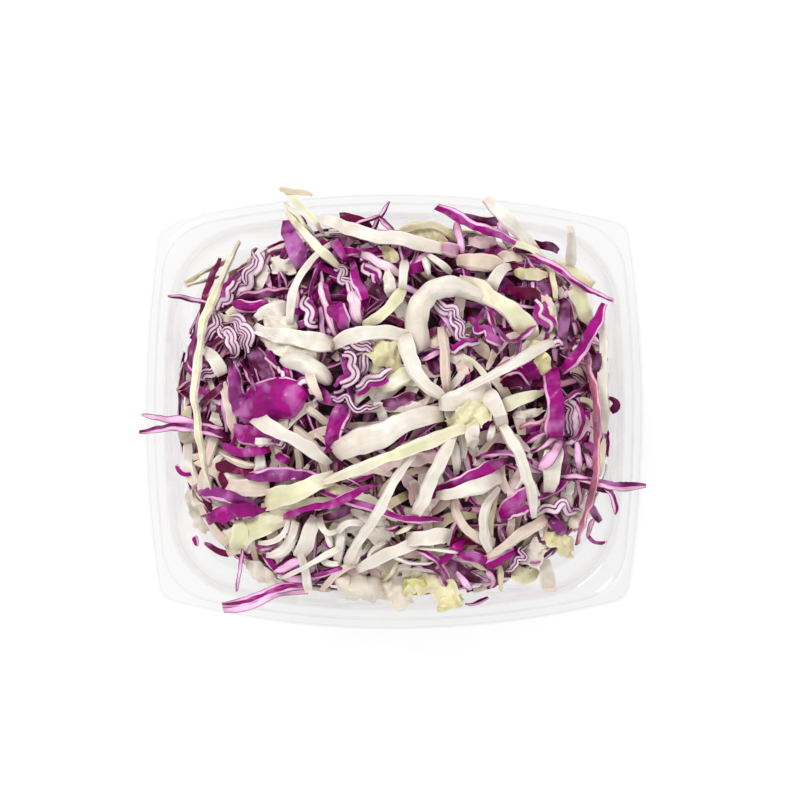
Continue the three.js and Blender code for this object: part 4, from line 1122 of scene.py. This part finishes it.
# ---- Materials ----
class Nodes:
    """Short forms for making and joining shader nodes."""

    def __init__(self, name):
        self.material = bpy.data.materials.new(name)
        self.material.use_nodes = True
        self.tree = self.material.node_tree
        self.tree.nodes.clear()

    def add(self, kind, feeds, **values):
        """A node whose sockets are fed plain values or other nodes' outputs."""
        node = self.tree.nodes.new(kind)
        for key, value in values.items():
            setattr(node, key, value)
        sockets = {socket.identifier: socket for socket in node.inputs}
        for key, value in feeds.items():
            socket = sockets[key] if key in sockets else node.inputs[key]
            if isinstance(value, bpy.types.NodeSocket):
                self.tree.links.new(value, socket)
            else:
                socket.default_value = value
        return node

    def attribute(self, name, output):
        return self.add("ShaderNodeAttribute", {}, attribute_name=name).outputs[output]

    def place(self):
        return self.add("ShaderNodeTexCoord", {}).outputs["Object"]

    def parts(self, vector):
        return self.add("ShaderNodeSeparateXYZ", {0: vector}).outputs

    def math(self, operation, *terms):
        return self.add("ShaderNodeMath", dict(enumerate(terms)), operation=operation).outputs[0]

    def ramp(self, factor, low, high):
        """0 below low, 1 above high, smooth between."""
        feeds = {"Value": factor, "From Min": low, "From Max": high}
        return self.add("ShaderNodeMapRange", feeds, interpolation_type="SMOOTHSTEP").outputs["Result"]

    def blend(self, factor, first, second, mode="MIX"):
        feeds = {"Factor_Float": factor, "A_Color": first, "B_Color": second}
        node = self.add("ShaderNodeMix", feeds, data_type="RGBA", blend_type=mode)
        return next(socket for socket in node.outputs if socket.identifier == "Result_Color")

    def shaded(self, colour, pattern, low, high, least):
        """A colour darkened to a share of itself where a pattern is low."""
        shade = self.blend(self.ramp(pattern, low, high), grey(least), grey(1.0))
        return self.blend(1.0, colour, shade, "MULTIPLY")

    def noise(self, vector, scale, detail=2.0):
        feeds = {"Vector": vector, "Scale": scale, "Detail": detail}
        return self.add("ShaderNodeTexNoise", feeds).outputs["Fac"]

    def scaled(self, vector, factors):
        return self.add("ShaderNodeVectorMath", {0: vector, 1: factors}, operation="MULTIPLY").outputs[0]

    def bump(self, height, strength, distance):
        feeds = {"Height": height, "Strength": strength, "Distance": distance * MM}
        return self.add("ShaderNodeBump", feeds).outputs["Normal"]

    def shader(self, kind, **feeds):
        """A shader, its sockets named with underscores for spaces."""
        feeds = {name.replace("_", " "): value for name, value in feeds.items()}
        return self.add("ShaderNodeBsdf" + kind, feeds).outputs[0]

    def blend_shaders(self, share, first, second):
        return self.add("ShaderNodeMixShader", {0: share, 1: first, 2: second}).outputs[0]

    def finish(self, shader):
        self.add("ShaderNodeOutputMaterial", {"Surface": shader})
        return self.material


def grey(value):
    return (value, value, value, 1)


def opaque(colour):
    return (*linear(colour), 1)


def cabbage_material(name, rough, border, mottle, subsurface=0.0, veins=0.0, bloom_and_sheen=0.0):
    """Leaf skin and cut flesh: a thin line of skin borders the flesh, streaks follow the run."""
    m = Nodes(name)
    cut, offset, reach = m.parts(m.attribute("zone", "Vector"))
    skin = m.attribute("skin", "Color")
    flesh = m.attribute("flesh", "Color")
    grain = m.attribute("grain", "Vector")
    place = m.place()

    blotch = m.noise(place, 210, 3)
    streak = m.noise(m.scaled(grain, (0.12, 1.5, 1.0)), 1.0, 3)
    fine = m.noise(m.scaled(grain, (0.5, 4.0, 1.0)), 1.0)
    cells = m.noise(place, 1500)

    jitter = m.math("MULTIPLY", m.math("SUBTRACT", streak, 0.5), 0.5)
    from_border = m.math("ADD", m.math("SUBTRACT", reach, m.math("ABSOLUTE", offset)), jitter)
    is_flesh = m.math("MULTIPLY", cut, m.ramp(from_border, border * 0.45, border * 1.5))

    skin_colour = m.shaded(skin, blotch, 0.35, 0.75, 1 - mottle)
    skin_colour = m.shaded(skin_colour, streak, 0.3, 0.75, 1 - mottle * 0.6)
    # waxy bloom and painted sheen: lilac patches on the red skin
    if bloom_and_sheen:
        patch = m.math("MULTIPLY", m.ramp(m.noise(place, 120), 0.48, 0.72), bloom_and_sheen)
        skin_colour = m.blend(patch, skin_colour, opaque(BLOOM_AND_SHEEN))
    else:
        paler = m.math("SUBTRACT", 1.0, m.ramp(from_border, 0.1, 1.0))
        skin_colour = m.blend(m.math("MULTIPLY", paler, 0.6), skin_colour, flesh)
    halo = m.ramp(from_border, border * 0.8, border * 4.5)
    flesh_colour = m.shaded(m.blend(halo, m.blend(0.3, flesh, skin), flesh), fine, 0.25, 0.7, 0.86)
    vein = m.math("MULTIPLY", m.ramp(streak, 0.5, 0.66), veins)
    flesh_colour = m.blend(vein, flesh_colour, skin)

    speckle = m.math("MULTIPLY", m.math("SUBTRACT", cells, 0.5), 0.5)
    feeds = {"Value": m.math("ADD", is_flesh, speckle), "To Min": rough[0], "To Max": rough[1]}
    height = m.math("ADD", m.math("MULTIPLY", fine, 0.7), m.math("MULTIPLY", cells, 0.45))
    shader = m.shader(
        "Principled",
        Base_Color=m.blend(is_flesh, skin_colour, flesh_colour),
        Roughness=m.add("ShaderNodeMapRange", feeds).outputs["Result"],
        Normal=m.bump(height, 0.35, 0.25),
        Subsurface_Weight=subsurface,
        Subsurface_Radius=(1.0, 0.85, 0.7),
        Subsurface_Scale=1.2 * MM,
        Specular_IOR_Level=RED_GLOSS if bloom_and_sheen else LIGHT_GLOSS,
    )
    return m.finish(shader)


def core_material():
    """Painted shade on top, dark where it shows in the gaps of the heap, and patches like shreds where it
    shows through the wall.
    """
    m = Nodes("cabbage_core_painted_shade")
    place = m.place()
    warp = m.ramp(m.noise(place, 90, 3), 0.42, 0.56)
    patches = m.noise(place, 260, 3)
    # painted shade: above this level the core takes dark colours that stand for the shade in the heap's gaps
    top = m.ramp(m.parts(place)["Z"], 0.03, 0.038)
    deep = m.blend(warp, opaque((44, 4, 30)), opaque((96, 34, 66)))
    side = m.blend(warp, opaque((96, 20, 78)), opaque((176, 120, 156)))
    side = m.blend(m.ramp(patches, 0.5, 0.6), side, opaque((214, 196, 182)))
    colour = m.blend(top, side, deep)
    relief = m.bump(patches, 0.8, 1.2)
    return m.finish(m.shader("Principled", Base_Color=colour, Normal=relief, Roughness=0.6))


def clear_material():
    """Clear thin plastic: see-through, milky where the sheet is seen edge-on, with soft reflections."""
    m = Nodes("clear_plastic")
    edge_on = m.add("ShaderNodeLayerWeight", {"Blend": 0.5}).outputs["Facing"]
    clear = m.shader("Transparent", Color=m.blend(m.ramp(edge_on, 0.3, 1.0), grey(0.948), grey(0.995)))
    milky = m.shader("Diffuse", Color=grey(0.97))
    body = m.blend_shaders(m.math("MULTIPLY", m.ramp(edge_on, 0.35, 1.0), 0.06), clear, milky)
    gloss = m.shader("Glossy", Roughness=0.1, Color=grey(1.0))
    fresnel = m.add("ShaderNodeFresnel", {"IOR": 1.5}).outputs["Fac"]
    return m.finish(m.blend_shaders(m.math("MINIMUM", fresnel, 0.12), body, gloss))


def floor_material():
    """White acrylic, lit a little from below."""
    m = Nodes("pale_floor")
    m.material.cycles.emission_sampling = "NONE"
    tone = m.blend(m.noise(m.place(), 3), grey(0.19), grey(0.21))
    glow = dict(Emission_Color=grey(1.0), Emission_Strength=0.8)
    return m.finish(m.shader("Principled", Base_Color=tone, Roughness=0.7, **glow))


# ---- Tub shell and core ----
def bent(rows):
    """Replaces each inner row of a profile by a curve of the bend size in its last column."""
    rows = np.array(rows, float)
    t = np.linspace(0, 1, BEND_POINTS)[:, None]
    made = [rows[0, :3]]
    for before, row, after in zip(rows, rows[1:], rows[2:]):
        here, bend = row[:3], row[3]
        sides = [other[:3] - here for other in (before, after)]
        start, end = (here + side * min(bend / math.hypot(side[0], side[2]), MOST_BEND) for side in sides)
        made.extend((1 - t) ** 2 * start + 2 * t * (1 - t) * here + t**2 * end)
    made.append(rows[-1, :3])
    return np.array(made)


def sheet_profile():
    """Inset, corner radius and level of the tub's upper face, from the floor over the rim to the lip."""
    flange = TUB_HEIGHT - BEAD_RISE
    shoulder = TUB_HEIGHT - SHOULDER_DROP
    return bent(
        [
            (FOOT_INSET + 8, FOOT_CORNER, WALL, 0),
            (FOOT_INSET, FOOT_CORNER, WALL, FOOT_RADIUS),
            (OPENING_INSET + UPPER_DRAFT + SHOULDER_LEDGE, OPENING_CORNER, shoulder - SHOULDER_STEP, 0.6),
            (OPENING_INSET + UPPER_DRAFT, OPENING_CORNER, shoulder, 0.6),
            (OPENING_INSET, OPENING_CORNER, flange, 1.1),
            (BEAD_INSET + BEAD_HALF, BEAD_CORNER, flange, 0.4),
            (BEAD_INSET + BEAD_HALF * 0.4, BEAD_CORNER, TUB_HEIGHT, 0.4),
            (BEAD_INSET - BEAD_HALF * 0.4, BEAD_CORNER, TUB_HEIGHT, 0.4),
            (BEAD_INSET - BEAD_HALF, BEAD_CORNER, flange, 0.4),
            (0, LIP_CORNER, flange, 1.0),
            (0, LIP_CORNER, flange - LIP_DROP, 0),
        ]
    )


def offset_profile(profile, distance):
    run = np.gradient(profile[:, [0, 2]], axis=0)
    run[0] = (-1, 0)
    run = unit(run)
    moved = profile.copy()
    moved[:, 0] += distance * -run[:, 1]
    moved[:, 2] += distance * run[:, 0]
    return moved


def tub_shell():
    upper = sheet_profile()
    lower = offset_profile(upper, WALL)
    rings = [ring_at(*row) for row in [*lower, *upper[::-1]]]
    vertices, faces = loft(rings, (0, 0, lower[0][2]), (0, 0, upper[0][2]))
    return add_piece("tub_shell", vertices, faces, clear_material())


def core():
    """Body under the loose shreds, standing in for deeper cabbage, a few millimetres inside the wall and the
    heap's surface; dark on top as painted shade in the heap's gaps.
    """
    foot = WALL + CORE_FOOT
    shoulder = EDGE_LEVEL - FILL_DEPTH - CORE_EDGE
    # How much farther in than the gap, and the level
    side = ((5, foot), (1, foot + 1.3), (0, foot + 4.8), (-1.2, CORE_WAIST), (-CORE_LEAN, shoulder))
    rings = [ring_at(FOOT_INSET + CORE_GAP + i, HEAP_CORNER - CORE_GAP - i, level) for i, level in side]
    for share in np.linspace(0.98, 0.06, CORE_RINGS):
        x, y = (rings[4][:, :2] * share).T
        sink = FILL_DEPTH - 1.2 + 0.9 * np.sin(x * 0.9) * np.cos(y * 0.8) + 0.6 * np.sin(x * 0.37 + y * 0.51)
        rings.append(np.column_stack([x, y, heap_level(x, y) - sink]))
    vertices, faces = loft(rings, (0, 0, foot), (0, 0, float(heap_level(0, 0)) - FILL_DEPTH + 1))
    return add_piece("cabbage_core", vertices, faces, core_material())


# ---- Camera, floor and light ----
def add_camera():
    data = bpy.data.cameras.new("camera")
    data.lens = LENS
    data.sensor_width = SENSOR
    camera = bpy.data.objects.new("camera", data)
    distance = LENS * FRAME_WIDTH / SENSOR
    camera.location = Vector((*AIM, TUB_HEIGHT + distance)) * MM
    bpy.context.collection.objects.link(camera)
    bpy.context.scene.camera = camera


def add_floor():
    corners = np.array([(x, y, FLOOR_LEVEL / FLOOR_HALF) for x, y in ((-1, -1), (1, -1), (1, 1), (-1, 1))])
    floor = add_piece("floor", corners * FLOOR_HALF, [(0, 1, 2, 3)], floor_material())


def add_light():
    world = bpy.data.worlds.new("studio")
    world.use_nodes = True
    world.node_tree.nodes["Background"].inputs["Color"].default_value = (1, 1, 1, 1)
    world.node_tree.nodes["Background"].inputs["Strength"].default_value = WORLD_LIGHT
    bpy.context.scene.world = world
    for name, (place, size, power) in LAMPS.items():
        data = bpy.data.lights.new(name, "AREA")
        data.shape = "SQUARE"
        data.size = size
        data.energy = power
        lamp = bpy.data.objects.new(name, data)
        lamp.location = place
        lamp.rotation_euler = (Vector(LAMP_AIM) - Vector(place)).to_track_quat("-Z", "Y").to_euler()
        bpy.context.collection.objects.link(lamp)


rng = random.Random(SEED)
piles = {kind: Shreds() for kind in KINDS}
field = Field()
layer_fill(piles, field, rng)
line_wall(piles, rng)
cover_floor(piles, rng)
layer_shown(piles, field, rng)

cabbage = []
for kind, (piece_name, material_name) in NAMES.items():
    cabbage.append(piles[kind].build(piece_name, cabbage_material(material_name, **SURFACES[kind])))
cabbage.append(core())
for piece in cabbage:
    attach(piece, "root")
    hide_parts("cabbage")
shell = tub_shell()
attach(shell, "root")
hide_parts("tub")

add_camera()
add_floor()
add_light()
bpy.context.scene.view_settings.view_transform = "Standard"
